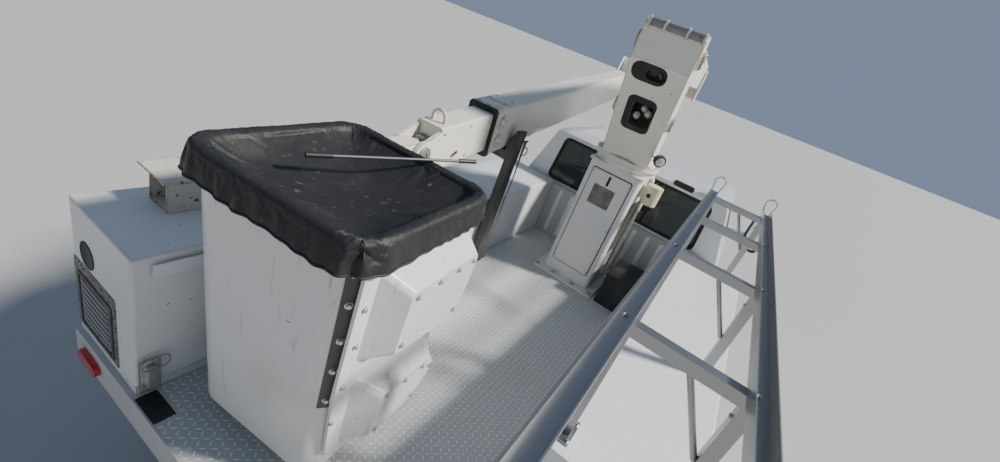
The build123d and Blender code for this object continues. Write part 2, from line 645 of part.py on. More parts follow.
glass_skin = cab_skin(12, 12 + GLASS_T)
screen_glass = glass_skin & screen_cut
rear_glass = glass_skin & rear_cut
keep("cab_glass", Compound(children=[*screen_glass.solids(), *rear_glass.solids()]))

door_form = cab_skin(0, CAB_DOOR_T) & through_side(DOOR_SIDE, 0)
door_panel = door_form - through_side(DOOR_WINDOW, 0)
door_glass = cab_skin(24, 24 + GLASS_T) & through_side(DOOR_WINDOW, 0)
keep("door_glass_left", door_glass)
keep("door_glass_right", mirror(door_glass, about=Plane.XZ))

MIRROR_Y = 1230
MIRROR_X = CAB_FRONT_X - 320
MIRROR_Z = 1560
with BuildPart() as cab_door:
    add(door_panel)
    for arm_z in (MIRROR_Z - 130, MIRROR_Z - 40):
        with BuildSketch(Plane(origin=(MIRROR_X, 930, arm_z), x_dir=(1, 0, 0), z_dir=(0, 1, 0))):
            SlotOverall(60, 30)
        extrude(amount=MIRROR_Y - 930 - 60)
    with BuildSketch(side(MIRROR_Y)):
        with Locations((MIRROR_X, MIRROR_Z)):
            RectangleRounded(90, 360, 40)
    extrude(amount=95, both=True)
keep("cab_door_left", cab_door.part)
keep("cab_door_right", mirror(cab_door.part, about=Plane.XZ))

# Seat and dashboard with the steering wheel
with BuildPart() as seat:
    with BuildSketch(side(0)):
        polygon([(CAB_BACK_X + 130, FLOOR_Z + 20), (CAB_BACK_X + 130, 1130), (CAB_BACK_X + 75, 1640),
                 (CAB_BACK_X + 175, 1640), (CAB_BACK_X + 290, 1240), (CAB_BACK_X + 760, 1260),
                 (CAB_BACK_X + 760, 1120), (CAB_BACK_X + 660, FLOOR_Z + 20)])
    extrude(amount=720, both=True)
    fillet(seat.edges().filter_by(Axis.Y), 25)

WHEEL_Y = 400
with BuildPart() as dashboard:
    with BuildSketch(side(0)):
        polygon([(CAB_FRONT_X - CAB_SKIN, 1120), (CAB_FRONT_X - CAB_SKIN, 1385), (CAB_FRONT_X - 330, 1360),
                 (CAB_FRONT_X - 400, 1290), (CAB_FRONT_X - 340, 1080)])
    extrude(amount=880, both=True)
    column = Plane(origin=(CAB_FRONT_X - 350, WHEEL_Y, 1210), z_dir=(-1, 0, 0.55))
    with BuildSketch(column):
        Circle(28)
    extrude(amount=210)
    with BuildSketch(column.offset(195)):
        Circle(195)
        Circle(168, mode=Mode.SUBTRACT)
        with PolarLocations(95, 3, start_angle=90):
            Rectangle(170, 26)
    extrude(amount=24)

# Nose: wings, cowl and radiator support under the hood
NOSE_SIDE = [(CAB_FRONT_X, SILL_Z), (CAB_FRONT_X, 1405), (CAB_FRONT_X + 60, 1412),
             (NOSE_FRONT_X - 150, 1325), (NOSE_FRONT_X - 30, 1260), (NOSE_FRONT_X, 1180),
             (NOSE_FRONT_X, SILL_Z)]
NOSE_END = [(960, SILL_Z), (CAB_HALF, 700), (CAB_HALF, 1180), (985, 1270), (890, 1345), (700, 1385),
            (300, 1412)]
HOOD_HALF = 860
HOOD_REAR = CAB_FRONT_X + 45
HOOD_FRONT = NOSE_FRONT_X - 35
HOOD_GAP = 5
GRILLE_HALF = 560
GRILLE_Z = (850, 1190)
LAMP_Y = (600, 960)
LAMP_Z = (900, 1190)


def nose_skin(outer, inner):
    def form(inset):
        return car_form(NOSE_SIDE, NOSE_END, CAB_FRONT_X - 10, NOSE_FRONT_X + 10, inset)
    return form(outer) - form(inner)


hood_zone = block((HOOD_REAR, HOOD_FRONT), (-HOOD_HALF, HOOD_HALF), (1225, 1500))
hood_cut = block((HOOD_REAR - HOOD_GAP, HOOD_FRONT + HOOD_GAP), (-HOOD_HALF - HOOD_GAP, HOOD_HALF + HOOD_GAP),
                 (1215, 1500))
nose_front = (NOSE_FRONT_X - 90, NOSE_FRONT_X + 20)
grille_cut = block(nose_front, (-GRILLE_HALF, GRILLE_HALF), GRILLE_Z)
lamp_cut = block(nose_front, LAMP_Y, LAMP_Z)
nose_outer = nose_skin(0, NOSE_SKIN)
with BuildPart() as hood:
    add(nose_outer & hood_zone)
keep("hood", hood.part)

SHELF_OUT = 20
SHELF_IN = 16
shelf_outer = block((HOOD_REAR - SHELF_OUT, HOOD_FRONT + SHELF_OUT),
                    (-HOOD_HALF - SHELF_OUT, HOOD_HALF + SHELF_OUT), (1215, 1500))
shelf_inner = block((HOOD_REAR + SHELF_IN, HOOD_FRONT - SHELF_IN),
                    (-HOOD_HALF + SHELF_IN, HOOD_HALF - SHELF_IN), (1200, 1500))
hood_shelf = (nose_skin(NOSE_SKIN - 4, NOSE_SKIN + FLANGE_T) & (shelf_outer - hood_cut)) + (
    nose_skin(NOSE_SKIN + SEAT_GAP, NOSE_SKIN + FLANGE_T) & (shelf_outer - shelf_inner))

APRON_Y = 570
with BuildPart() as front_wings:
    add(nose_outer)
    add(hood_cut, mode=Mode.SUBTRACT)
    add(hood_shelf)
    add(grille_cut, mode=Mode.SUBTRACT)
    add(lamp_cut, mode=Mode.SUBTRACT)
    add(mirror(lamp_cut, about=Plane.XZ), mode=Mode.SUBTRACT)
    with Locations(((CAB_FRONT_X + NOSE_FRONT_X) / 2, 0, SILL_Z + 60)):
        Box(NOSE_FRONT_X - CAB_FRONT_X + 40, 2 * CAB_HALF - 2 * NOSE_SKIN - 120, 240, mode=Mode.SUBTRACT)
    with BuildSketch(side(0)):
        with Locations((FRONT_AXLE_X, TYRE_R)):
            Circle(ARCH_R)
    extrude(amount=CAB_HALF + 20, both=True, mode=Mode.SUBTRACT)
    with Locations((CAB_FRONT_X + 30, 0, 800)):
        Box(120, 2 * RAIL_OUT + 60, 500, mode=Mode.SUBTRACT)
    for hand in (-1, 1):
        with BuildSketch(side(hand * APRON_Y)):
            polygon([(CAB_FRONT_X + 10, RAIL_TOP + 2), (CAB_FRONT_X + 10, 1200), (NOSE_FRONT_X - 20, 1150),
                     (NOSE_FRONT_X - 20, RAIL_TOP + 2)])
        extrude(amount=8, both=True)
keep("front_wings", front_wings.part)

BAR_COUNT = 5
with BuildPart() as grille:
    grille_w = 2 * (GRILLE_HALF - SEAT_GAP)
    grille_h = GRILLE_Z[1] - GRILLE_Z[0] - 2 * SEAT_GAP
    with BuildSketch(section(NOSE_FRONT_X - 60)):
        with Locations((0, sum(GRILLE_Z) / 2)):
            RectangleRounded(grille_w, grille_h, 20)
            RectangleRounded(grille_w - 70, grille_h - 70, 12, mode=Mode.SUBTRACT)
    extrude(amount=70)
    with BuildSketch(section(NOSE_FRONT_X - 40)):
        with Locations((0, sum(GRILLE_Z) / 2)):
            with GridLocations(0, (grille_h - 70) / BAR_COUNT, 1, BAR_COUNT - 1):
                Rectangle(grille_w - 60, 20)
            with GridLocations(190, 0, 5, 1):
                Rectangle(16, grille_h - 60)
    extrude(amount=35)
keep("grille", grille.part)

TAIL_LAMP_Y = 1040
lamp_solids = []
for hand in (-1, 1):
    with BuildPart() as head_lamp:
        with Locations((NOSE_FRONT_X - 35, hand * sum(LAMP_Y) / 2, sum(LAMP_Z) / 2)):
            Box(70, LAMP_Y[1] - LAMP_Y[0] - 2 * SEAT_GAP, LAMP_Z[1] - LAMP_Z[0] - 2 * SEAT_GAP)
        fillet(head_lamp.edges().filter_by(Axis.X), 18)
    with BuildPart() as tail_lamp:
        with BuildSketch(section(REAR_X - 22)):
            with Locations((hand * TAIL_LAMP_Y, DECK_TOP - 80)):
                SlotOverall(165, 60)
        extrude(amount=22)
    lamp_solids += [*head_lamp.part.solids(), *tail_lamp.part.solids()]
keep("lamps", Compound(children=lamp_solids))

BUMPER_Z = (540, 800)
with BuildPart() as front_bumper:
    with BuildSketch(level(BUMPER_Z[0])):
        with BuildLine():
            Line((NOSE_FRONT_X + 10, -CAB_HALF), (NOSE_FRONT_X + 70, -CAB_HALF))
            ThreePointArc((NOSE_FRONT_X + 70, -CAB_HALF), (NOSE_FRONT_X + BUMPER_REACH, 0),
                          (NOSE_FRONT_X + 70, CAB_HALF))
            Line((NOSE_FRONT_X + 70, CAB_HALF), (NOSE_FRONT_X + 10, CAB_HALF))
            Line((NOSE_FRONT_X + 10, CAB_HALF), (NOSE_FRONT_X + 10, CAB_HALF - 30))
            Line((NOSE_FRONT_X + 10, CAB_HALF - 30), (NOSE_FRONT_X + 45, CAB_HALF - 30))
            ThreePointArc((NOSE_FRONT_X + 45, CAB_HALF - 30), (NOSE_FRONT_X + BUMPER_REACH - 25, 0),
                          (NOSE_FRONT_X + 45, 30 - CAB_HALF))
            Line((NOSE_FRONT_X + 45, 30 - CAB_HALF), (NOSE_FRONT_X + 10, 30 - CAB_HALF))
            Line((NOSE_FRONT_X + 10, 30 - CAB_HALF), (NOSE_FRONT_X + 10, -CAB_HALF))
        make_face()
    extrude(amount=BUMPER_Z[1] - BUMPER_Z[0])
    for hand in (-1, 1):
        with Locations(((RAIL_FRONT_X + NOSE_FRONT_X + 30) / 2, hand * (RAIL_OUT - RAIL_WALL - 30), 735)):
            Box(NOSE_FRONT_X + 200 - RAIL_FRONT_X, 60, 110)

# Ladder rack over the right side body
RACK_TAIL = TAIL_OVERHANG
RACK_L = TAIL_OVERHANG + DECK_LENGTH + 140
RACK_INNER_Y = -660
RACK_OUTER_Y = -1070
RACK_RAIL_W = 62
RACK_RAIL_H = 50
RACK_Z = DECK_TOP + 1042
RACK_TUBE = 44
RACK_BEAMS = (760, 1650, 2470, DECK_LENGTH - 50)
RACK_POSTS = (760, 1650, DECK_LENGTH - 50)
with BuildPart() as ladder_rack:
    for rail_y in (RACK_INNER_Y, RACK_OUTER_Y):
        with BuildSketch(section(REAR_X - RACK_TAIL)):
            with Locations((rail_y, RACK_Z + RACK_RAIL_H / 2)):
                Rectangle(RACK_RAIL_W, RACK_RAIL_H)
                with Locations((0, 4)):
                    Rectangle(RACK_RAIL_W - 8, RACK_RAIL_H, mode=Mode.SUBTRACT)
        extrude(amount=RACK_L)
    for place in RACK_BEAMS:
        with Locations((REAR_X + place, (RACK_INNER_Y + RACK_OUTER_Y) / 2, RACK_Z - RACK_TUBE / 2)):
            Box(RACK_TUBE, RACK_INNER_Y - RACK_OUTER_Y + RACK_RAIL_W, RACK_TUBE)
    for place in RACK_POSTS:
        for post_y in (RACK_INNER_Y - 20, RACK_OUTER_Y):
            with Locations((REAR_X + place, post_y, (BODY_TOP + RACK_Z - RACK_TUBE) / 2)):
                Box(RACK_TUBE, RACK_TUBE, RACK_Z - RACK_TUBE - BODY_TOP)
            with Locations((REAR_X + place, post_y, BODY_TOP + 4)):
                Box(130, 72, 8)

# Equipment box at the left rear corner: a tray, a power unit and a tilting cover
BOX_X = (20, 600)
BOX_Y = (705, 1180)
BOX_H = 638
TRAY_H = 40
TRAY_FLOOR_T = 12
BOX_WALL = 8
box_mid_x = REAR_X + sum(BOX_X) / 2
box_mid_y = sum(BOX_Y) / 2
box_l = BOX_X[1] - BOX_X[0]
box_w = BOX_Y[1] - BOX_Y[0]
LATCH_X = REAR_X + BOX_X[0] + 40
LATCH_W = 34
LATCH_T = 4
cover_z = DECK_TOP + TRAY_H + SEAT_GAP
with BuildPart() as box_tray:
    with BuildSketch(level(DECK_TOP)):
        with Locations((box_mid_x, box_mid_y)):
            Rectangle(box_l, box_w)
            Rectangle(box_l - 2 * BOX_WALL, box_w - 2 * BOX_WALL, mode=Mode.SUBTRACT)
    extrude(amount=TRAY_H)
    with Locations((box_mid_x, box_mid_y, DECK_TOP + TRAY_FLOOR_T / 2)):
        Box(box_l - BOX_WALL, box_w - BOX_WALL, TRAY_FLOOR_T)
    add(block((LATCH_X - LATCH_W / 2, LATCH_X + LATCH_W / 2), (BOX_Y[0] - LATCH_T, BOX_Y[0] + 1),
              (DECK_TOP + 6, cover_z - 5)))

# The power unit stands near the cover's hinge, inside the arc its far wall swings through
UNIT_FEET_H = 30
UNIT_H = 300
UNIT_L = 390
UNIT_W = 250
UNIT_Y = 1000
unit_foot_z = DECK_TOP + TRAY_FLOOR_T
with BuildPart() as power_unit:
    with Locations((box_mid_x, UNIT_Y, unit_foot_z + UNIT_FEET_H + UNIT_H / 2)):
        Box(UNIT_L, UNIT_W, UNIT_H)
    with Locations((box_mid_x, UNIT_Y, unit_foot_z + UNIT_FEET_H / 2)):
        with GridLocations(UNIT_L - 70, UNIT_W - 60, 2, 2):
            Cylinder(22, UNIT_FEET_H)
    fillet(power_unit.faces().sort_by(Axis.Z)[-1].edges(), 12)
    with BuildSketch(level(unit_foot_z + UNIT_FEET_H + UNIT_H)):
        with Locations((box_mid_x + 80, UNIT_Y + 15)):
            Circle(48)
    extrude(amount=60)

# Channel bracket on the cover's lid: an open U of plate under a wider top plate
BRACKET_X = (230, 470)
BRACKET_Y = (945, 1080)
BRACKET_H = 132
BRACKET_T = 8
bracket_w = BRACKET_Y[1] - BRACKET_Y[0]
with BuildPart() as lid_bracket:
    with BuildSketch(section(REAR_X + BRACKET_X[0])):
        with Locations((sum(BRACKET_Y) / 2, DECK_TOP + BOX_H + SEAT_GAP + BRACKET_H / 2)):
            Rectangle(bracket_w, BRACKET_H)
            Rectangle(bracket_w - 2 * BRACKET_T, BRACKET_H - 2 * BRACKET_T, mode=Mode.SUBTRACT)
    extrude(amount=BRACKET_X[1] - BRACKET_X[0])
    chamfer(lid_bracket.faces().sort_by(Axis.X)[0].edges().filter_by(Axis.Y).sort_by(Axis.Z)[0], 5)
    with Locations((REAR_X + sum(BRACKET_X) / 2, sum(BRACKET_Y) / 2 + 20,
                    DECK_TOP + BOX_H + SEAT_GAP + BRACKET_H + BRACKET_T / 2)):
        Box(BRACKET_X[1] - BRACKET_X[0] + 30, bracket_w + 70, BRACKET_T)

VENT_HOLE_R = 38
with BuildPart() as box_cover:
    with BuildSketch(level(cover_z)):
        with Locations((box_mid_x, box_mid_y)):
            Rectangle(box_l, box_w)
    extrude(amount=BOX_H - TRAY_H - SEAT_GAP)
    fillet(box_cover.edges().filter_by(Axis.Z), 12)
    fillet(box_cover.faces().sort_by(Axis.Z)[-1].edges(), 8)
    with BuildSketch(level(cover_z)):
        with Locations((box_mid_x, box_mid_y)):
            Rectangle(box_l - 2 * BOX_WALL, box_w - 2 * BOX_WALL)
    extrude(amount=BOX_H - TRAY_H - SEAT_GAP - BOX_WALL, mode=Mode.SUBTRACT)
    with BuildSketch(section(REAR_X + BOX_X[0])):
        with Locations((BOX_Y[1] - 130, DECK_TOP + 440)):
            Circle(VENT_HOLE_R)
    extrude(amount=60, both=True, mode=Mode.SUBTRACT)
    with BuildSketch(section(REAR_X + BOX_X[0])):
        with Locations((BOX_Y[1] - 175, DECK_TOP + 190)):
            with GridLocations(0, 28, 1, 8):
                SlotOverall(250, 10)
    extrude(amount=60, both=True, mode=Mode.SUBTRACT)
    add(block((REAR_X + BOX_X[0] + 40, REAR_X + BOX_X[1] - 40), (BOX_Y[1] - 1, BOX_Y[1] + HINGE_LEAF_T),
              (cover_z + HINGE_IN, cover_z + HINGE_LEAF)))
    with BuildSketch(section(REAR_X + BOX_X[0] + 40)):
        with Locations((BOX_Y[1] + HINGE_R + SEAT_GAP, cover_z)):
            Circle(HINGE_R)
    extrude(amount=box_l - 80)
    add(block((LATCH_X - LATCH_W / 2, LATCH_X + LATCH_W / 2), (BOX_Y[0] - LATCH_T, BOX_Y[0] + 1),
              (cover_z + 4, cover_z + 130)))
    add(block((LATCH_X - 10, LATCH_X + 10), (BOX_Y[0] - 4 * LATCH_T, BOX_Y[0]), (cover_z + 1, cover_z + 100)))

# Pedestal on the deck, with its slewing ring
PEDESTAL_WALL = 12
RING_R = 235
with BuildPart() as pedestal:
    with BuildSketch(level(DECK_TOP)):
        with Locations((SLEW_X, SLEW_Y)):
            RectangleRounded(560, 560, 30)
    extrude(amount=20)
    with BuildSketch(level(DECK_TOP + 20)):
        with Locations((SLEW_X, SLEW_Y)):
            RectangleRounded(PEDESTAL_W, PEDESTAL_W, 36)
            RectangleRounded(PEDESTAL_W - 2 * PEDESTAL_WALL, PEDESTAL_W - 2 * PEDESTAL_WALL, 26,
                             mode=Mode.SUBTRACT)
    extrude(amount=PEDESTAL_TOP - DECK_TOP - 38)
    with BuildSketch(level(PEDESTAL_TOP - 18)):
        with Locations((SLEW_X, SLEW_Y)):
            RectangleRounded(PEDESTAL_W + 30, PEDESTAL_W + 30, 40)
    extrude(amount=18)
    with BuildSketch(level(PEDESTAL_TOP)):
        with Locations((SLEW_X, SLEW_Y)):
            Circle(RING_R)
            Circle(RING_R - 90, mode=Mode.SUBTRACT)
    extrude(amount=TURRET_FLOOR - TURRET_BASE_T - SEAT_GAP - PEDESTAL_TOP)
    with BuildSketch(section(SLEW_X - PEDESTAL_W / 2)):
        with Locations((SLEW_Y, DECK_TOP + 520)):
            RectangleRounded(290, 640, 12)
    extrude(amount=-6)
    with BuildSketch(side(-PEDESTAL_W / 2)):
        with Locations((SLEW_X, DECK_TOP + 560)):
            RectangleRounded(250, 480, 20)
    extrude(amount=PEDESTAL_WALL, both=True, mode=Mode.SUBTRACT)

with BuildPart() as slew_drive:
    with BuildSketch(level(DECK_TOP + 840)):
        with Locations((SLEW_X - 20, -PEDESTAL_W / 2 - 85)):
            Circle(62)
    extrude(amount=150)
    with Locations((SLEW_X - 20, -PEDESTAL_W / 2 - 50, DECK_TOP + 915)):
        Box(90, 100, 90)
keep("slew_drive", slew_drive.part)

with BuildPart() as battery_box:
    with BuildSketch(level(DECK_TOP)):
        with Locations((SLEW_X - 60, -PEDESTAL_W / 2 - 215)):
            RectangleRounded(400, 230, 15)
    extrude(amount=250)
    with BuildSketch(level(DECK_TOP + 250)):
        with Locations((SLEW_X - 60, -PEDESTAL_W / 2 - 215)):
            RectangleRounded(412, 242, 18)
    extrude(amount=28)
    fillet(battery_box.faces().sort_by(Axis.Z)[-1].edges(), 6)

# Turret: floor plate, two cheeks leaning back, and the skin between them
cheek_y = TURRET_W / 2 - CHEEK_T / 2
pivot_x = along(LOWER_PIVOT[0])
pivot_z = LOWER_PIVOT[1]
BARREL_PIN = (-100, TURRET_FLOOR + 100)
BARREL_PIN_R = 22
pivot_a = LOWER_PIVOT[0]
CHEEK = [(-230, TURRET_FLOOR), (pivot_a - 106, pivot_z - 100), (pivot_a - 112, pivot_z + 85),
         (pivot_a - 65, pivot_z + 125), (pivot_a + 70, pivot_z + 125), (pivot_a + 130, pivot_z + 55),
         (250, TURRET_FLOOR + 60), (250, TURRET_FLOOR)]
SKIN = [(-230, TURRET_FLOOR), (pivot_a - 106, pivot_z - 100), (pivot_a - 112, pivot_z + 75),
        (pivot_a - 102, pivot_z + 75), (pivot_a - 95, pivot_z - 96), (-212, TURRET_FLOOR + 8),
        (-212, TURRET_FLOOR)]
with BuildPart() as turret:
    with BuildSketch(level(TURRET_FLOOR - TURRET_BASE_T)):
        with Locations((SLEW_X, SLEW_Y)):
            Circle(RING_R + 20)
    extrude(amount=TURRET_BASE_T)
    with BuildSketch(level(TURRET_FLOOR)):
        with Locations((along(10), SLEW_Y)):
            Rectangle(480, TURRET_W)
    extrude(amount=14)
    for hand in (-1, 1):
        with BuildSketch(side(hand * cheek_y)):
            polygon([(along(a), z) for a, z in CHEEK])
        extrude(amount=CHEEK_T / 2, both=True)
        with BuildSketch(side(hand * (TURRET_W / 2 + 8))):
            with Locations((pivot_x, pivot_z), (along(pivot_a + 220), pivot_z - 395)):
                Circle(58)
        extrude(amount=8, both=True)
    with BuildSketch(side(0)):
        polygon([(along(a), z) for a, z in SKIN])
    extrude(amount=TURRET_W / 2, both=True)
    with BuildSketch(side(0)):
        with Locations((pivot_x, pivot_z)):
            Circle(BOOM_PIN_R)
    extrude(amount=TURRET_W / 2, both=True)
    with BuildSketch(side(0)):
        with Locations((along(BARREL_PIN[0]), BARREL_PIN[1])):
            Circle(BARREL_PIN_R)
    extrude(amount=TURRET_W / 2, both=True)
    with BuildSketch(section(along(-900))):
        with Locations((0, pivot_z - 410)):
            RectangleRounded(140, 150, 30)
        with Locations((0, pivot_z - 160)):
            SlotOverall(120, 60)
    extrude(amount=550, mode=Mode.SUBTRACT)
keep_stowed("turret", turret.part)

# Lower boom: root lug on the turret's pin, box section, tip lug at the elbow
elbow_x = along(ELBOW_ALONG)
PIN_GAP = 0.5
ROOT_R = 88
ROOT_TUBE_R = 50
ROOT_LUG_T = 30
with BuildPart() as lower_boom:
    with BuildSketch(side(0)):
        polygon([(pivot_x + 60, pivot_z - LOWER_H / 2 + 40), (pivot_x + 200, pivot_z - LOWER_H / 2),
                 (elbow_x - 160, pivot_z - LOWER_H / 2), (elbow_x - 60, pivot_z - 90),
                 (elbow_x - 60, pivot_z + 90), (elbow_x - 160, pivot_z + LOWER_H / 2),
                 (pivot_x + 200, pivot_z + LOWER_H / 2), (pivot_x + 60, pivot_z + 95)])
    extrude(amount=LOWER_W / 2, both=True)
    with BuildSketch(side(0)):
        with Locations((pivot_x + ELBOW_ALONG / 2 + 120, pivot_z)):
            Rectangle(ELBOW_ALONG + 160, LOWER_H - 2 * LOWER_WALL)
    extrude(amount=LOWER_W / 2 - LOWER_WALL, both=True, mode=Mode.SUBTRACT)
    with BuildSketch(side(0)):
        with Locations((pivot_x, pivot_z), (elbow_x, pivot_z)):
            Circle(ROOT_R)
        with Locations((pivot_x + 60, pivot_z), (elbow_x - 60, pivot_z)):
            Rectangle(120, 2 * ROOT_R - 6)
    extrude(amount=LOWER_W / 2, both=True)
    with BuildSketch(side(0)):
        with Locations((pivot_x - 40, pivot_z)):
            Rectangle(2 * ROOT_R + 20, 2 * ROOT_R)
        with Locations((pivot_x, pivot_z)):
            Circle(ROOT_TUBE_R, mode=Mode.SUBTRACT)
    extrude(amount=LOWER_W / 2 - ROOT_LUG_T, both=True, mode=Mode.SUBTRACT)
    with BuildSketch(side(0)):
        with Locations((pivot_x, pivot_z), (elbow_x, pivot_z)):
            Circle(BOOM_PIN_R + PIN_GAP)
    extrude(amount=LOWER_W, both=True, mode=Mode.SUBTRACT)
    with BuildSketch(level(pivot_z - LOWER_H)):
        with Locations((pivot_x + 590, 0)):
            SlotOverall(760, 140)
    extrude(amount=LOWER_H - 20, mode=Mode.SUBTRACT)
keep_stowed("lower_boom", lower_boom.part)

# Elbow bracket: a fork round the lower boom's tip, a cross tube, and a fork round the upper boom's root
pitch = radians(UPPER_PITCH)
root_along = ELBOW_ALONG
root_z = MOUTH_TOP - UPPER_H / 2 / cos(pitch) + (root_along - MOUTH_ALONG) * tan(pitch)
root_x = along(root_along)
FORK_T = 18
FORK_GAP = 6
WEB_AHEAD = 110              # from the elbow's pin to the web, clear of both booms' swing
CROSS_TUBE_L = 150
CROSS_TUBE_H = 190
CROSS_TUBE_UP = 220          # above the upper boom's root pin
fork_front = WEB_AHEAD + FORK_T + CROSS_TUBE_L + 10
with BuildPart() as elbow_bracket:
    for plate_y in (-LOWER_W / 2 - FORK_GAP - FORK_T / 2, LOWER_W / 2 + FORK_GAP + FORK_T / 2):
        with BuildSketch(side(plate_y)):
            with Locations((elbow_x, pivot_z)):
                Circle(105)
            polygon([(elbow_x - 105, pivot_z), (elbow_x + 60, pivot_z + 86), (elbow_x + 190, pivot_z + 40),
                     (elbow_x + fork_front, pivot_z - 85), (elbow_x + fork_front, root_z + 115),
                     (elbow_x - 20, root_z + 110)])
        extrude(amount=FORK_T / 2, both=True)
    with BuildSketch(section(elbow_x + WEB_AHEAD)):
        with Locations((0, (pivot_z + 90 + root_z + 120) / 2)):
            Rectangle(LOWER_W + 2 * FORK_GAP + 2 * FORK_T, pivot_z - root_z - 80)
    extrude(amount=FORK_T)
    with BuildSketch(side(-LOWER_W / 2 - FORK_GAP)):
        with Locations((elbow_x + WEB_AHEAD + FORK_T + CROSS_TUBE_L / 2, root_z + CROSS_TUBE_UP)):
            RectangleRounded(CROSS_TUBE_L, CROSS_TUBE_H, 30)
            RectangleRounded(CROSS_TUBE_L - 30, CROSS_TUBE_H - 30, 18, mode=Mode.SUBTRACT)
    extrude(amount=-(UPPER_SIDE + UPPER_W / 2 + FORK_GAP + LOWER_W / 2 + FORK_GAP))
    with BuildSketch(side(0)):
        with Locations((elbow_x, pivot_z)):
            Circle(BOOM_PIN_R)
    extrude(amount=LOWER_W / 2 + FORK_GAP + FORK_T, both=True)
    for plate_y in (UPPER_SIDE - UPPER_W / 2 - FORK_GAP - FORK_T / 2,
                    UPPER_SIDE + UPPER_W / 2 + FORK_GAP + FORK_T / 2):
        with BuildSketch(side(plate_y)):
            with Locations((root_x, root_z)):
                Circle(120)
            polygon([(root_x - 60, root_z + 100), (root_x + 20, root_z + 325),
                     (root_x + fork_front, root_z + 325), (root_x + fork_front, root_z + 110),
                     (root_x + 60, root_z - 100)])
        extrude(amount=FORK_T / 2, both=True)
    with BuildSketch(side(UPPER_SIDE)):
        with Locations((root_x, root_z)):
            Circle(BOOM_PIN_R)
    extrude(amount=UPPER_W / 2 + FORK_GAP + FORK_T, both=True)
keep_stowed("elbow_bracket", elbow_bracket.part)

# Outer boom: a square tube open at its mouth, closed at the elbow
PAD_COVER_R = 46
PAD_COVER_T = 9
PAD_COVER_ALONG = 110
MOUTH_PLATES = (75, 215)
MOUTH_PLATE_L = 120
MOUTH_PLATE_T = 10
upper_dir = Vector(cos(pitch), 0, sin(pitch))
upper_up = Vector(-sin(pitch), 0, cos(pitch))
upper_l = (root_along - MOUTH_ALONG) / cos(pitch)
mouth_plane = Plane(origin=Vector(root_x, UPPER_SIDE, root_z) - upper_dir * upper_l,
                    x_dir=(0, 1, 0), z_dir=upper_dir)
with BuildPart() as outer_boom:
    with BuildSketch(mouth_plane):
        RectangleRounded(UPPER_W, UPPER_H, 24)
        RectangleRounded(UPPER_W - 2 * UPPER_WALL, UPPER_H - 2 * UPPER_WALL, 14, mode=Mode.SUBTRACT)
    extrude(amount=upper_l - 260)
    with BuildSketch(mouth_plane.offset(upper_l - 320)):
        RectangleRounded(UPPER_W, UPPER_H, 24)
    extrude(amount=200)
    with BuildSketch(side(UPPER_SIDE)):
        with Locations((root_x, root_z)):
            Circle(95)
        polygon([(root_x - 150, root_z - 145), (root_x - 150, root_z + 120), (root_x + 10, root_z + 94),
                 (root_x + 10, root_z - 94)])
    extrude(amount=UPPER_W / 2, both=True)
    for plate_up in (UPPER_H / 2 - 95, 95 - UPPER_H / 2):
        with BuildSketch(Plane(origin=mouth_plane.origin + upper_dir * PAD_COVER_ALONG + upper_up * plate_up
                               + Vector(0, UPPER_W / 2 + PAD_COVER_T, 0), x_dir=upper_dir, z_dir=(0, -1, 0))):
            Circle(PAD_COVER_R)
        extrude(amount=PAD_COVER_T + 2)
        with BuildSketch(Plane(origin=mouth_plane.origin + upper_dir * PAD_COVER_ALONG + upper_up * plate_up
                               - Vector(0, UPPER_W / 2 + PAD_COVER_T, 0), x_dir=upper_dir, z_dir=(0, 1, 0))):
            Circle(PAD_COVER_R)
        extrude(amount=PAD_COVER_T + 2)
    for plate_along in MOUTH_PLATES:
        plate_foot = mouth_plane.origin + upper_dir * plate_along + upper_up * (UPPER_H / 2 - 1)
        with BuildSketch(Plane(origin=plate_foot, x_dir=upper_dir, z_dir=upper_up)):
            Rectangle(MOUTH_PLATE_L, UPPER_W - 40)
        extrude(amount=MOUTH_PLATE_T + 1)
    with BuildSketch(mouth_plane.offset(2)):
        RectangleRounded(UPPER_W + 16, UPPER_H + 16, 28)
        RectangleRounded(UPPER_W - 2, UPPER_H - 2, 24, mode=Mode.SUBTRACT)
    extrude(amount=24)
    with BuildSketch(side(UPPER_SIDE)):
        with Locations((root_x, root_z)):
            Circle(BOOM_PIN_R + PIN_GAP)
    extrude(amount=UPPER_W, both=True, mode=Mode.SUBTRACT)
keep_stowed("outer_boom", outer_boom.part)

# Boom rest: a post by the left wall, with a cradle cut to the outer boom's own line, and its strap
REST_X = SLEW_X - 730
REST_L = 90
REST_POST_Y = 596
REST_POST_W = 60
REST_FLANGE_T = 8
CRADLE_PLAY = 16
CRADLE_GAP = 8               # room for the pad that the boom is let down on
CRADLE_ARM_H = 150
CRADLE_BASE = 75
STRAP_X = REST_X + 75
STRAP_W = 50
STRAP_T = 4
STRAP_L = 998
STRAP_ROD_R = 7
yaw = radians(STOW_YAW)
rest_along = (REST_X - SLEW_X + UPPER_SIDE * sin(yaw)) / cos(yaw)
rest_boom_y = rest_along * sin(yaw) + UPPER_SIDE * cos(yaw)
rest_boom_z = root_z - UPPER_H / 2 / cos(pitch) - (ELBOW_ALONG - rest_along) * tan(pitch)
rest_y = REST_POST_Y - REST_POST_W / 2
cradle_out = rest_boom_y + UPPER_W / 2 + 100
with BuildPart() as boom_room:
    with BuildSketch(mouth_plane):
        with Locations((0, UPPER_H / 2 - CRADLE_GAP)):
            Rectangle(UPPER_W + 2 * CRADLE_PLAY, 2 * UPPER_H)
    extrude(amount=upper_l)
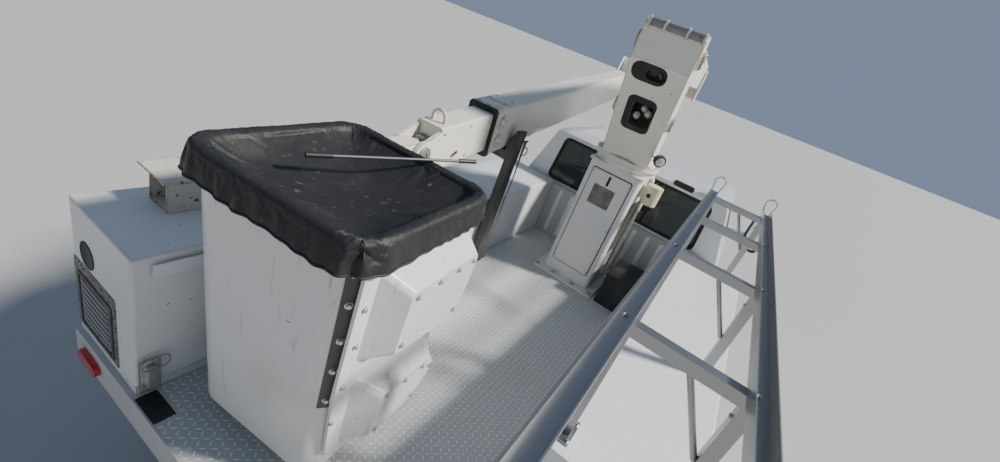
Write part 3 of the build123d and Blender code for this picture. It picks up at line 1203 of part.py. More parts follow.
with BuildPart() as boom_rest:
    with BuildSketch(level(DECK_TOP)):
        with Locations((REST_X, REST_POST_Y)):
            Rectangle(REST_L + 6, REST_POST_W + 18)
    extrude(amount=REST_FLANGE_T)
    with BuildSketch(level(DECK_TOP + REST_FLANGE_T)):
        with Locations((REST_X, REST_POST_Y)):
            RectangleRounded(REST_L, REST_POST_W, 8)
    extrude(amount=rest_boom_z - CRADLE_BASE - DECK_TOP)
    with BuildSketch(section(REST_X - REST_L / 2)):
        polygon([(rest_y, rest_boom_z - CRADLE_BASE), (rest_y, rest_boom_z + CRADLE_ARM_H),
                 (rest_y + 30, rest_boom_z + CRADLE_ARM_H), (rest_boom_y - UPPER_W / 2, rest_boom_z + 30),
                 (rest_boom_y + UPPER_W / 2, rest_boom_z + 30), (cradle_out - 24, rest_boom_z + CRADLE_ARM_H),
                 (cradle_out, rest_boom_z + CRADLE_ARM_H), (cradle_out, rest_boom_z - CRADLE_BASE)])
    extrude(amount=REST_L)
    with BuildSketch(section(REST_X)):
        with Locations((rest_y, DECK_TOP + 1 + STRAP_L + STRAP_ROD_R + SEAT_GAP)):
            Circle(STRAP_ROD_R)
    extrude(amount=STRAP_X + STRAP_W / 2 + 5 - REST_X)
    add(boom_room.part.rotate(Axis((SLEW_X, SLEW_Y, 0), (0, 0, 1)), STOW_YAW), mode=Mode.SUBTRACT)

with BuildPart() as tie_strap:
    with BuildSketch(side(rest_y)):
        with Locations((STRAP_X, DECK_TOP + 1 + STRAP_L / 2)):
            Rectangle(STRAP_W, STRAP_L)
    extrude(amount=STRAP_T / 2, both=True)
keep("tie_strap", tie_strap.part)

# Inner boom slides in it on wear pads and carries the bucket's pivot at its tip
SLIDE_GAP = 0.5
PAD_L = 100                  # wear pads at its hidden end fill the outer boom's bore
pad_w = UPPER_W - 2 * UPPER_WALL - 2 * SLIDE_GAP
pad_h = UPPER_H - 2 * UPPER_WALL - 2 * SLIDE_GAP
LOOP_ALONG = 70
LOOP_R = 38
LOOP_FOOT = 26
LOOP_BAR = 16
SLOT_ALONG = 175
SLOT_DOWN = 60
LUG_ALONG = 60
tip_plane = mouth_plane.offset(-INNER_SHOWN)
inner_l = INNER_SHOWN + INNER_HIDDEN
tip_pivot = tip_plane.origin - upper_dir * TIP_REACH
with BuildPart() as inner_boom:
    with BuildSketch(tip_plane):
        RectangleRounded(INNER_W, INNER_H, 16)
        RectangleRounded(INNER_W - 2 * INNER_WALL, INNER_H - 2 * INNER_WALL, 8, mode=Mode.SUBTRACT)
    extrude(amount=inner_l)
    with BuildSketch(tip_plane.offset(inner_l - PAD_L - 20)):
        Rectangle(pad_w - 30, pad_h)
        Rectangle(pad_w, pad_h - 30)
        Rectangle(INNER_W - 2 * INNER_WALL, INNER_H - 2 * INNER_WALL, mode=Mode.SUBTRACT)
    extrude(amount=PAD_L)
    with BuildSketch(tip_plane):
        RectangleRounded(INNER_W, INNER_H, 16)
    extrude(amount=20)
    for hand in (-1, 1):
        with BuildSketch(side(UPPER_SIDE + hand * (INNER_W / 2 - 10))):
            with Locations((tip_pivot.X, tip_pivot.Z)):
                Circle(75)
            polygon([(tip_pivot.X, tip_pivot.Z - 75), (tip_pivot.X + TIP_REACH + 24, tip_pivot.Z - 105),
                     (tip_pivot.X + TIP_REACH + 4, tip_pivot.Z + 126), (tip_pivot.X, tip_pivot.Z + 75)])
        extrude(amount=10, both=True)
    with BuildSketch(side(UPPER_SIDE)):
        with Locations((tip_pivot.X, tip_pivot.Z)):
            Circle(TIP_PIN_R)
    extrude(amount=INNER_W / 2, both=True)
    loop_middle = tip_plane.origin + upper_dir * LOOP_ALONG + upper_up * (INNER_H / 2 + LOOP_FOOT)
    with BuildSketch(Plane(origin=loop_middle, x_dir=(0, 1, 0), z_dir=upper_dir)):
        with BuildLine():
            Line((-LOOP_R, -LOOP_FOOT - 2), (-LOOP_R, 0))
            ThreePointArc((-LOOP_R, 0), (0, LOOP_R), (LOOP_R, 0))
            Line((LOOP_R, 0), (LOOP_R, -LOOP_FOOT - 2))
        trace(line_width=LOOP_BAR)
    extrude(amount=LOOP_BAR / 2, both=True)
    with BuildSketch(Plane(origin=tip_plane.origin + upper_dir * SLOT_ALONG - upper_up * SLOT_DOWN,
                           x_dir=upper_dir, z_dir=(0, -1, 0))):
        SlotOverall(70, 26, rotation=20)
    extrude(amount=INNER_W, both=True, mode=Mode.SUBTRACT)
    with BuildSketch(Plane(origin=tip_plane.origin + upper_dir * LUG_ALONG - upper_up * (INNER_H / 2 + 18),
                           x_dir=upper_dir, z_dir=(0, -1, 0))):
        Rectangle(64, 44)
        Circle(11, mode=Mode.SUBTRACT)
    extrude(amount=7, both=True)
keep_stowed("inner_boom", inner_boom.part)

# Bucket: tapered tub with a rim, hung on the tip pivot by a bracket on its front wall
bucket_x = along(BUCKET_ALONG)
bucket_front = bucket_x + BUCKET_L / 2


def tub(shrink, floor):
    rise = (floor - BUCKET_FLOOR) / (BUCKET_TOP - BUCKET_FLOOR)
    foot = BUCKET_DRAFT * (1 - rise) + shrink
    with BuildPart() as shape:
        with BuildSketch(level(floor)):
            with Locations((bucket_x, BUCKET_SIDE)):
                RectangleRounded(BUCKET_L - 2 * foot, BUCKET_W - 2 * foot, BUCKET_CORNER - shrink)
        with BuildSketch(level(BUCKET_TOP)):
            with Locations((bucket_x, BUCKET_SIDE)):
                RectangleRounded(BUCKET_L - 2 * shrink, BUCKET_W - 2 * shrink, BUCKET_CORNER - shrink)
        loft()
    return shape.part


HANGER_Z = tip_pivot.Z
with BuildPart() as bucket:
    add(tub(0, BUCKET_FLOOR))
    with BuildSketch(level(BUCKET_TOP - 45)):
        with Locations((bucket_x, BUCKET_SIDE)):
            RectangleRounded(BUCKET_L + 36, BUCKET_W + 36, BUCKET_CORNER + 12)
    extrude(amount=45)
    add(tub(BUCKET_WALL, BUCKET_FLOOR + BUCKET_WALL), mode=Mode.SUBTRACT)
keep_stowed("bucket", bucket.part)

HANGER_T = 24
HANGER_W = 420
HANGER_SIDE = UPPER_SIDE - 200
with BuildPart() as bucket_hanger:
    with BuildSketch(section(bucket_front + 18)):
        with Locations((HANGER_SIDE, HANGER_Z - 110)):
            RectangleRounded(HANGER_W, 430, 20)
    extrude(amount=HANGER_T)
    with BuildSketch(side(UPPER_SIDE)):
        with Locations((tip_pivot.X, tip_pivot.Z)):
            Circle(60)
        polygon([(bucket_front + 18 + HANGER_T, HANGER_Z + 60), (tip_pivot.X, HANGER_Z + 60),
                 (tip_pivot.X, HANGER_Z - 60), (bucket_front + 18 + HANGER_T, HANGER_Z - 180)])
    extrude(amount=INNER_W / 2 - 26, both=True)
    with BuildSketch(side(UPPER_SIDE)):
        with Locations((tip_pivot.X, tip_pivot.Z)):
            Circle(TIP_PIN_R + PIN_GAP)
    extrude(amount=INNER_W, both=True, mode=Mode.SUBTRACT)
    with BuildSketch(section(bucket_front - 30)):
        with Locations((HANGER_SIDE, HANGER_Z - 110)):
            Rectangle(HANGER_W - 120, 380)
    extrude(amount=48)
    add(tub(-0.2, BUCKET_FLOOR), mode=Mode.SUBTRACT)
keep_stowed("bucket_hanger", bucket_hanger.part)

# Step moulding on the bucket's right wall, drawn on that wall: forward from the bucket's middle, up from
# its floor. A bolted flange carries two drafted pods, whose tops are the treads, with toe room between.
STEP_OUT = 96
STEP_FLANGE_T = 12
STEP_ROUND = 22
bucket_right = BUCKET_SIDE - BUCKET_W / 2
wall_plane = Plane(origin=(bucket_x, bucket_right + BUCKET_DRAFT, BUCKET_FLOOR), x_dir=(1, 0, 0),
                   z_dir=(0, BUCKET_FLOOR - BUCKET_TOP, -BUCKET_DRAFT))
STEP_FLANGE = [(-300, 980), (255, 980), (285, 905), (290, 575), (205, 480), (205, 425), (285, 350),
               (280, 215), (150, 70), (-215, 70), (-250, 115), (-290, 440)]
STEP_PODS = (
    # foot on the flange, outer face
    ([(-235, 925), (235, 925), (268, 875), (272, 590), (185, 510), (-230, 560)],
     [(-170, 865), (215, 865), (235, 835), (240, 625), (175, 565), (-165, 610)]),
    ([(-205, 455), (185, 415), (255, 345), (250, 230), (140, 100), (-190, 110)],
     [(-140, 400), (150, 365), (205, 310), (200, 245), (115, 150), (-130, 165)]),
)
with BuildPart() as bucket_steps:
    with BuildSketch(wall_plane):
        polygon(STEP_FLANGE)
        fillet(vertices(), STEP_ROUND)
    extrude(amount=STEP_FLANGE_T)
    for foot, face in STEP_PODS:
        with BuildSketch(wall_plane.offset(STEP_FLANGE_T - 1)):
            polygon(foot)
            fillet(vertices(), STEP_ROUND)
        with BuildSketch(wall_plane.offset(STEP_OUT)):
            polygon(face)
            fillet(vertices(), STEP_ROUND)
        loft()
    add(tub(-0.2, BUCKET_FLOOR), mode=Mode.SUBTRACT)
keep_stowed("bucket_steps", bucket_steps.part)

COVER_SKIRT = 90
COVER_T = 14
with BuildPart() as bucket_cover:
    with BuildSketch(level(BUCKET_TOP - COVER_SKIRT)):
        with Locations((bucket_x, BUCKET_SIDE)):
            RectangleRounded(BUCKET_L + 70, BUCKET_W + 70, BUCKET_CORNER + 26)
            RectangleRounded(BUCKET_L + 70 - 2 * COVER_T, BUCKET_W + 70 - 2 * COVER_T,
                             BUCKET_CORNER + 14, mode=Mode.SUBTRACT)
    extrude(amount=COVER_SKIRT + 1)
    with BuildSketch(level(BUCKET_TOP + 0.5)):
        with Locations((bucket_x, BUCKET_SIDE)):
            RectangleRounded(BUCKET_L + 70, BUCKET_W + 70, BUCKET_CORNER + 26)
    extrude(amount=COVER_T)
    with Locations((bucket_front + 60, HANGER_SIDE, BUCKET_TOP - COVER_SKIRT)):
        Box(120, HANGER_W + 20, 2 * COVER_SKIRT - 4, mode=Mode.SUBTRACT)
keep_stowed("bucket_cover", bucket_cover.part)

# Lift cylinder under the lower boom: barrel on the turret's low pin, rod to the boom
ROD_EYE = (150, LOWER_PIVOT[1] + 30)
barrel_base = Vector(along(BARREL_PIN[0]), 0, BARREL_PIN[1])
rod_end = Vector(along(ROD_EYE[0]), 0, ROD_EYE[1])
lift_dir = (rod_end - barrel_base).normalized()
lift_l = (rod_end - barrel_base).length
barrel_plane = Plane(origin=barrel_base, x_dir=(0, 1, 0), z_dir=lift_dir)
BARREL_R = 48
BARREL_L = lift_l - 75
BORE_R = 34
ROD_R = 26
with BuildPart() as lift_barrel:
    with BuildSketch(barrel_plane):
        Circle(BARREL_R)
    extrude(amount=BARREL_L)
    with BuildSketch(side(0)):
        with Locations((barrel_base.X, barrel_base.Z)):
            Circle(46)
    extrude(amount=45, both=True)
    with BuildSketch(barrel_plane.offset(60)):
        Circle(BORE_R)
    extrude(amount=BARREL_L, mode=Mode.SUBTRACT)
    with BuildSketch(barrel_plane.offset(BARREL_L - 30)):
        Circle(BARREL_R)
        Circle(ROD_R + SLIDE_GAP, mode=Mode.SUBTRACT)
    extrude(amount=30)
    with BuildSketch(side(0)):
        with Locations((barrel_base.X, barrel_base.Z)):
            Circle(BARREL_PIN_R + PIN_GAP)
    extrude(amount=100, both=True, mode=Mode.SUBTRACT)
keep_stowed("lift_barrel", lift_barrel.part)

with BuildPart() as lift_rod:
    with BuildSketch(barrel_plane.offset(66)):
        Circle(BORE_R - SLIDE_GAP)
    extrude(amount=20)
    with BuildSketch(barrel_plane.offset(66)):
        Circle(ROD_R)
    extrude(amount=lift_l - 66)
    with BuildSketch(side(0)):
        with Locations((rod_end.X, rod_end.Z)):
            Circle(36)
    extrude(amount=28, both=True)
    with BuildSketch(side(0)):
        with Locations((rod_end.X, rod_end.Z)):
            Circle(18)
    extrude(amount=40, both=True, mode=Mode.SUBTRACT)
keep_stowed("lift_rod", lift_rod.part)

for name, made in (
    ("chassis_frame", chassis_frame), ("hitch_receiver", hitch_receiver), ("engine_block", engine_block),
    ("rear_axle", rear_axle), ("front_axle", front_axle), ("leaf_springs", leaf_springs),
    ("driveshaft", driveshaft), ("fuel_tank", fuel_tank), ("exhaust", exhaust), ("deck", deck),
    ("seat", seat), ("dashboard", dashboard), ("front_bumper", front_bumper), ("ladder_rack", ladder_rack),
    ("box_tray", box_tray), ("box_cover", box_cover), ("power_unit", power_unit),
    ("lid_bracket", lid_bracket), ("pedestal", pedestal), ("battery_box", battery_box),
    ("boom_rest", boom_rest),
):
    keep(name, made.part)
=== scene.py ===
# %% [markdown]
# # A cherry picker truck
# The packed model is the fixed frame: each steel part already stands where it belongs, in metres,
# with +X forward, +Y to the street side and +Z up. This script gives every part its finish and adds
# what is too small or too soft for the frame: bolts, tread, the vinyl cover, hoses, lamps and handles.
# Places are measured from the deck's rear edge and its top, which are read from the frame here, so
# that nothing has to be moved by hand if the frame changes.

# %% Load the frame
import json
from math import cos, radians, sin

import bmesh
import bpy
import numpy as np
from mathutils import Matrix, Vector

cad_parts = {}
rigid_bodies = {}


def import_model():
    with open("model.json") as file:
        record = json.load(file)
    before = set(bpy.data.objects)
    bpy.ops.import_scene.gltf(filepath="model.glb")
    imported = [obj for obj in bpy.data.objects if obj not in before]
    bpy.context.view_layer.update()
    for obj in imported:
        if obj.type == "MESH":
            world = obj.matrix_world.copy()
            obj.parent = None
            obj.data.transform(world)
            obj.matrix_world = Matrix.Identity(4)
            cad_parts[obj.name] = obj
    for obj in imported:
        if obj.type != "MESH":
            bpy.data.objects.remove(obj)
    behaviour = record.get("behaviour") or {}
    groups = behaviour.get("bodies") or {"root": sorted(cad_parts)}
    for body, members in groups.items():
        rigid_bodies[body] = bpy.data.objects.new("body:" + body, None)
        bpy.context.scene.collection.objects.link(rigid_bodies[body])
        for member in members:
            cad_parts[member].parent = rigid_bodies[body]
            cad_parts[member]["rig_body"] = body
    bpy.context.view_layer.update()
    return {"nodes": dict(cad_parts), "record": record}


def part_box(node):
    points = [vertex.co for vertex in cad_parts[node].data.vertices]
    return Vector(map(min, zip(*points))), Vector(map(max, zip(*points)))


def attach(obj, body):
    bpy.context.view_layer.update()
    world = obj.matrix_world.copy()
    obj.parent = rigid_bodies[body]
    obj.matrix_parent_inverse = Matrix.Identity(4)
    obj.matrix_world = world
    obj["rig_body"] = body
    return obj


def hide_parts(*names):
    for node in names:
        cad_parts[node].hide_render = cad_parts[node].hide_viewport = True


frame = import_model()
nodes = frame["nodes"]
deck_low, deck_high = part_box("deck")
REAR = deck_low.x
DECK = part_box("boom_rest")[0].z
print("deck's rear edge", round(REAR, 3), "deck's top", round(DECK, 3))

# %% [markdown]
# ## Camera
# The photograph was taken by someone standing above the tail with a wide phone lens, turned a good
# twenty degrees on its side. A camera could be aimed by eye, but then each shape would be judged from
# a slightly wrong place. Its place, aim and focal length were solved from the truck's straight edges
# instead, and are written as sizes from the middle of the deck's rear edge.

# %% Camera
EYE = Vector((REAR - 0.502, -0.710, DECK + 1.711))
CAMERA_YAW, CAMERA_PITCH, CAMERA_ROLL = radians(23.68), radians(-25.14), 0.369
FOCAL_SHARE = 431.6 / 1000        # focal length over the picture's width
SENSOR = 36.0
FAR_CLIP = 400
ahead = Vector((cos(CAMERA_YAW) * cos(CAMERA_PITCH), sin(CAMERA_YAW) * cos(CAMERA_PITCH),
                sin(CAMERA_PITCH)))
level_right = Vector((sin(CAMERA_YAW), -cos(CAMERA_YAW), 0))
level_up = level_right.cross(ahead)
right = cos(CAMERA_ROLL) * level_right + sin(CAMERA_ROLL) * level_up
upward = cos(CAMERA_ROLL) * level_up - sin(CAMERA_ROLL) * level_right
lens = bpy.data.cameras.new("camera")
lens.sensor_width = SENSOR
lens.lens = FOCAL_SHARE * SENSOR
lens.clip_end = FAR_CLIP
camera = bpy.data.objects.new("camera", lens)
camera.matrix_world = Matrix((right, upward, -ahead)).transposed().to_4x4()
camera.location = EYE
bpy.context.scene.collection.objects.link(camera)
bpy.context.scene.camera = camera
print("focal length", round(lens.lens, 2), "mm on a", SENSOR, "mm sensor")

# %% [markdown]
# ## Light and floor
# The sun stands forty degrees up on the curb side, a little ahead, and the open sky fills the shade
# with a cool tint. A ring of area lamps could do this too, but one soft sun and an even sky give the
# photograph's single shadow, and they light every side alike. The floor is a plain pale sheet, which
# only has to catch the shadow.

# %% Light and floor
SUN_FROM = Vector((0.55, -1.0, 0.95))
FLOOR_HALF = 150.0
sun_data = bpy.data.lights.new("sun", "SUN")
sun_data.energy = 6.6
sun_data.angle = radians(7)
sun_data.color = (1.0, 0.965, 0.91)
sun = bpy.data.objects.new("sun", sun_data)
sun.rotation_mode = "QUATERNION"
sun.rotation_quaternion = SUN_FROM.to_track_quat("Z", "Y")
bpy.context.scene.collection.objects.link(sun)
world = bpy.data.worlds.new("sky")
world.use_nodes = True
sky = world.node_tree.nodes["Background"]
sky.inputs["Color"].default_value = (0.56, 0.71, 1.0, 1)
sky.inputs["Strength"].default_value = 0.36
bpy.context.scene.world = world

floor_mesh = bpy.data.meshes.new("floor")
floor_corners = [(FLOOR_HALF * x, FLOOR_HALF * y, 0) for x, y in ((-1, -1), (1, -1), (1, 1), (-1, 1))]
floor_mesh.from_pydata(floor_corners, [], [(0, 1, 2, 3)])
floor = bpy.data.objects.new("floor", floor_mesh)
bpy.context.scene.collection.objects.link(floor)
print("sun", sun_data.energy, "sky", sky.inputs["Strength"].default_value)

# %% [markdown]
# ## How a finish is built
# A painted panel that has worked outdoors is never one colour: dust lies in soft blotches, rain has
# drawn it down in streaks, and stones have chipped it. It could be painted by hand on a picture, but
# every part would need its seams and its own picture. Here each mark is a noise pattern on Object
# coordinates, turned into a mask that lays a second colour over the first. The class below hides the
# node wiring, so that a finish reads as a list of its layers.

# %% Node helpers
class Finish:
    """One procedural material: a shader, and layers mixed over its colour and roughness."""

    def __init__(self, name, colour, roughness, **sockets):
        self.material = bpy.data.materials.new(name)
        self.material.use_nodes = True
        self.tree = self.material.node_tree
        self.shader = self.tree.nodes["Principled BSDF"]
        self.colour = self.node("ShaderNodeRGB").outputs[0]
        self.colour.default_value = (*colour, 1)
        self.roughness = self.node("ShaderNodeValue").outputs[0]
        self.roughness.default_value = roughness
        self.height = None
        self.place = self.node("ShaderNodeTexCoord").outputs["Object"]
        for socket, value in sockets.items():
            self.shader.inputs[socket.replace("_", " ")].default_value = value

    def node(self, kind, **settings):
        """A new node of a kind, with its settings."""
        made = self.tree.nodes.new(kind)
        for key, value in settings.items():
            setattr(made, key, value)
        return made

    def link(self, source, target):
        """A wire from an output to an input."""
        self.tree.links.new(source, target)

    def stretched(self, scale):
        """Object coordinates, scaled on each axis, so that a pattern can run long one way."""
        mapping = self.node("ShaderNodeMapping")
        mapping.inputs["Scale"].default_value = scale
        self.link(self.place, mapping.inputs["Vector"])
        return mapping.outputs[0]

    def noise(self, size, detail=3.0, stretch=(1, 1, 1), shift=0.0):
        """Soft noise from 0 to 1 whose blotches are about size metres across."""
        made = self.node("ShaderNodeTexNoise", noise_dimensions="4D")
        made.inputs["Scale"].default_value = 1 / size
        made.inputs["Detail"].default_value = detail
        made.inputs["W"].default_value = shift
        self.link(self.stretched(stretch), made.inputs["Vector"])
        return made.outputs["Fac"]

    def cells(self, size):
        """Distance to the nearest of many points that stand about size metres apart."""
        made = self.node("ShaderNodeTexVoronoi", feature="F1")
        made.inputs["Scale"].default_value = 1 / size
        self.link(self.stretched((1, 1, 1)), made.inputs["Vector"])
        return made.outputs["Distance"]

    def mask(self, value, low, high, top=1.0):
        """0 under low, top over high, and a smooth climb between them."""
        made = self.node("ShaderNodeMapRange", interpolation_type="SMOOTHSTEP")
        for socket, number in (("From Min", low), ("From Max", high), ("To Max", top)):
            made.inputs[socket].default_value = number
        self.link(value, made.inputs["Value"])
        return made.outputs["Result"]

    def times(self, first, second):
        """The product of two masks, or of a mask and a number."""
        made = self.node("ShaderNodeMath", operation="MULTIPLY")
        for socket, value in zip(made.inputs, (first, second)):
            if isinstance(value, (int, float)):
                socket.default_value = value
            else:
                self.link(value, socket)
        return made.outputs[0]

    def worn_edge(self, radius):
        """1 along sharp edges: where a normal rounded over radius metres leaves the true one."""
        soft = self.node("ShaderNodeBevel", samples=4)
        soft.inputs["Radius"].default_value = radius
        turn = self.node("ShaderNodeVectorMath", operation="DOT_PRODUCT")
        self.link(soft.outputs[0], turn.inputs[0])
        self.link(self.node("ShaderNodeNewGeometry").outputs["Normal"], turn.inputs[1])
        return self.mask(turn.outputs["Value"], 0.995, 0.93)

    def layer(self, mask, colour, roughness=None):
        """Lays a colour, and its roughness, over what is there, where mask is 1."""
        over = self.node("ShaderNodeMix", data_type="RGBA")
        self.link(mask, over.inputs["Factor"])
        self.link(self.colour, over.inputs[6])
        over.inputs[7].default_value = (*colour, 1)
        self.colour = over.outputs[2]
        if roughness is not None:
            rough = self.node("ShaderNodeMix")
            self.link(mask, rough.inputs["Factor"])
            self.link(self.roughness, rough.inputs[2])
            rough.inputs[3].default_value = roughness
            self.roughness = rough.outputs[0]

    def marks(self, noise, limits, colour, roughness=None):
        """Lays a colour where a noise (size, detail, stretch, shift) is within its (low, high, top)."""
        self.layer(self.mask(self.noise(*noise), *limits), colour, roughness)

    def relief(self, value, depth):
        """A bump depth metres deep, stacked on the bumps before it."""
        made = self.node("ShaderNodeBump")
        made.inputs["Distance"].default_value = depth
        self.link(value, made.inputs["Height"])
        if self.height is not None:
            self.link(self.height, made.inputs["Normal"])
        self.height = made.outputs[0]

    def done(self):
        """Links colour, roughness and bumps to the shader, and returns the material."""
        self.link(self.colour, self.shader.inputs["Base Color"])
        self.link(self.roughness, self.shader.inputs["Roughness"])
        if self.height is not None:
            self.link(self.height, self.shader.inputs["Normal"])
        return self.material


EVEN = (1, 1, 1)
print("a finish has", len([name for name in vars(Finish) if name[0] != "_"]), "kinds of step")

# %% [markdown]
# ## Paints
# Each name says what is painted. Cab paint is glossy with a clear coat, body paint is plainer, boom
# paint is yellowed and chipped at its edges. All paints weather alike and differ only in how much, so
# one function lays the same marks and each paint gives the amounts. Rust shows as small dark spots
# with pale runs below them, because a white truck is streaked long before it is eaten.

# %% Painted finishes
DUST = (0.40, 0.36, 0.30)
RUST = (0.15, 0.065, 0.028)
RUST_RUN = (0.42, 0.22, 0.09)
SOOT = (0.05, 0.048, 0.045)
EDGE_STAIN, BARE_EDGE = (0.55, 0.40, 0.16), (0.16, 0.08, 0.045)
PEEL_SIZE, PEEL_DEPTH = 0.004, 0.00008


def paint(name, colour, roughness=0.35, dust=0.25, streaks=0.2, rust=0.0, edge=0.0, **sockets):
    """Sprayed paint: dust in blotches, rain streaks down its sides, rust in spots and worn edges."""
    finish = Finish(name, colour, roughness, **sockets)
    finish.marks((0.55, 4), (0.45, 0.85, dust), DUST, 0.6)
    finish.marks((0.05, 5, (1, 1, 0.06), 3.0), (0.58, 0.85, streaks), DUST, 0.55)
    finish.marks((0.03, 6, EVEN, 5.0), (0.70, 0.76, 0.45), SOOT, 0.7)
    if rust:
        spots = finish.mask(finish.noise(0.035, 6, shift=7.0), 0.735 - rust, 0.765 - rust)
        finish.marks((0.020, 5, (1, 1, 0.08), 9.0), (0.76 - rust, 0.86 - rust, 0.6), RUST_RUN, 0.7)
        finish.layer(spots, RUST, 0.85)
    if edge:
        broad_edge = finish.worn_edge(0.016)
        stains = finish.times(broad_edge, finish.mask(finish.noise(0.09, 5, shift=2.0), 0.34, 0.52))
        finish.layer(finish.times(stains, 0.7 * edge), EDGE_STAIN, 0.6)
        fine_edge = finish.worn_edge(0.006)
        chips = finish.times(fine_edge, finish.mask(finish.noise(0.03, 6), 0.42, 0.56, edge))
        finish.layer(chips, BARE_EDGE, 0.75)
    finish.relief(finish.noise(PEEL_SIZE, 2), PEEL_DEPTH)
    return finish.done()


cab_paint = paint("cab paint", (0.74, 0.755, 0.77), 0.22, 0.08, 0.08, Coat_Weight=0.6, Coat_Roughness=0.06)
body_paint = paint("body paint", (0.74, 0.75, 0.755), 0.33, 0.12, 0.12, Coat_Weight=0.25)
boom_paint = paint("boom paint", (0.76, 0.74, 0.66), 0.38, 0.16, 0.28, rust=0.045, edge=1.0)
pedestal_paint = paint("pedestal paint", (0.75, 0.74, 0.71), 0.36, 0.12, 0.2, edge=0.6)
box_paint = paint("box paint", (0.72, 0.73, 0.72), 0.42, 0.18, 0.25, rust=0.045, edge=0.8)
frame_steel = paint("frame steel", (0.030, 0.030, 0.032), 0.5, 0.30, 0.2)
# Deck and tread are one plate in two tones: painted shade on the plate, painted highlight on its bars.
shaded_deck_paint = paint("deck paint", (0.47, 0.48, 0.475), 0.5, 0.45, 0.0)
lit_tread_paint = paint("tread paint", (0.80, 0.81, 0.80), 0.42, 0.15, 0.0)
drive_paint = paint("drive paint", (0.66, 0.58, 0.42), 0.5, 0.3, 0.2, rust=0.06)
pipe_paint = paint("pipe paint", (0.80, 0.77, 0.62), 0.4, 0.2, 0.2, rust=0.05)
grey_steel = paint("grey steel", (0.20, 0.20, 0.20), 0.45, 0.3, 0.2, rust=0.10)
latch_steel = paint("latch steel", (0.26, 0.255, 0.25), 0.45, 0.3, 0.3, rust=0.06)
bracket_paint = paint("bracket paint", (0.58, 0.56, 0.50), 0.55, 0.4, 0.4, rust=0.13, edge=1.0)
wheel_steel = paint("wheel steel", (0.52, 0.53, 0.54), 0.4, 0.35, 0.1, rust=0.02, edge=0.5)
strap_steel = paint("strap steel", (0.075, 0.070, 0.062), 0.5, 0.4, 0.3, rust=0.10)
print("paints", len(bpy.data.materials))

# %% [markdown]
# ## Bare metals
# Rolled aluminium, chrome and zinc are the shader's metal with two marks each: fine scratches along
# the grain, stretched noise as a bump, and duller patches where hands and weather have been. The
# aluminium's colour is kept far darker than bare aluminium: painted shade and painted dark reflection
# on the rack's rails. The worn plate and the perforated sheet have lost their shine, so they are
# written out on their own; the sheet's holes are near-black dots, painted shade of the dark behind them.

# %% Bare metals
DULL_METAL = (0.30, 0.29, 0.27)


def metal(name, colour, roughness, grain=EVEN, dull=0.25):
    """Bare metal with fine scratches along its grain and duller patches."""
    finish = Finish(name, colour, roughness, Metallic=1.0)
    finish.marks((0.2, 4), (0.5, 0.8, dull), DULL_METAL, roughness + 0.3)
    finish.relief(finish.noise(0.004, 3, grain), 0.0002)
    return finish.done()


# Its colour is painted shade: far darker than bare aluminium, for the shaded, dark-reflecting rails.
shaded_aluminium = metal("mill aluminium", (0.36, 0.365, 0.37), 0.36, (0.04, 1, 1))
chrome = metal("chrome plate", (0.80, 0.81, 0.83), 0.12, dull=0.08)
zinc = metal("zinc plated bolts", (0.55, 0.54, 0.50), 0.35, dull=0.5)
muffler_steel = metal("muffler steel", (0.36, 0.32, 0.28), 0.5, dull=0.6)
iron = metal("cast iron", (0.16, 0.155, 0.15), 0.6, dull=0.6)
brass = metal("yellow chromate", (0.62, 0.46, 0.20), 0.4, dull=0.3)
mirror_glass = metal("mirror glass", (0.75, 0.80, 0.84), 0.03, dull=0.05)
worn_plate = Finish("worn plate", (0.20, 0.19, 0.17), 0.5)
worn_plate.marks((0.075, 4, EVEN, 1.0), (0.38, 0.66, 0.8), (0.075, 0.070, 0.065))
plate_metal = worn_plate.done()
pierced = Finish("perforated sheet", (0.19, 0.18, 0.165), 0.5, Metallic=0.4)
# The holes are near-black dots: painted shade of the dark inside behind the sheet.
pierced.layer(pierced.mask(pierced.cells(0.012), 0.42, 0.32), (0.012, 0.012, 0.012), 0.9)
pierced.marks((0.05, 5), (0.55, 0.8, 0.5), (0.22, 0.13, 0.07), 0.8)
perforated = pierced.done()
print("finishes so far", len(bpy.data.materials))

# %% [markdown]
# ## Rubber, fibreglass, glass and lenses
# Moulded rubber and plastic have a pebble grain, and turn chalky outdoors. The bucket's gel coat is
# waxy: broad yellowed areas, rain streaks, grey scuffs and short level scratches. Each is a layer of
# its own because each has another size and direction. Glass is the shader's own
# transmission with a thin film of dust, since clean glass on a dusty truck looks like a hole.

# %% Rubber, fibreglass, glass and lenses
def moulded(name, colour, roughness=0.5, grain=0.0012, **sockets):
    """Moulded plastic or rubber: a fine pebble grain, chalky where it has weathered."""
    finish = Finish(name, colour, roughness, **sockets)
    finish.marks((0.25, 5), (0.45, 0.8, 0.35), [0.10 + 0.8 * part for part in colour], 0.7)
    finish.relief(finish.cells(grain), 0.00012)
    return finish.done()


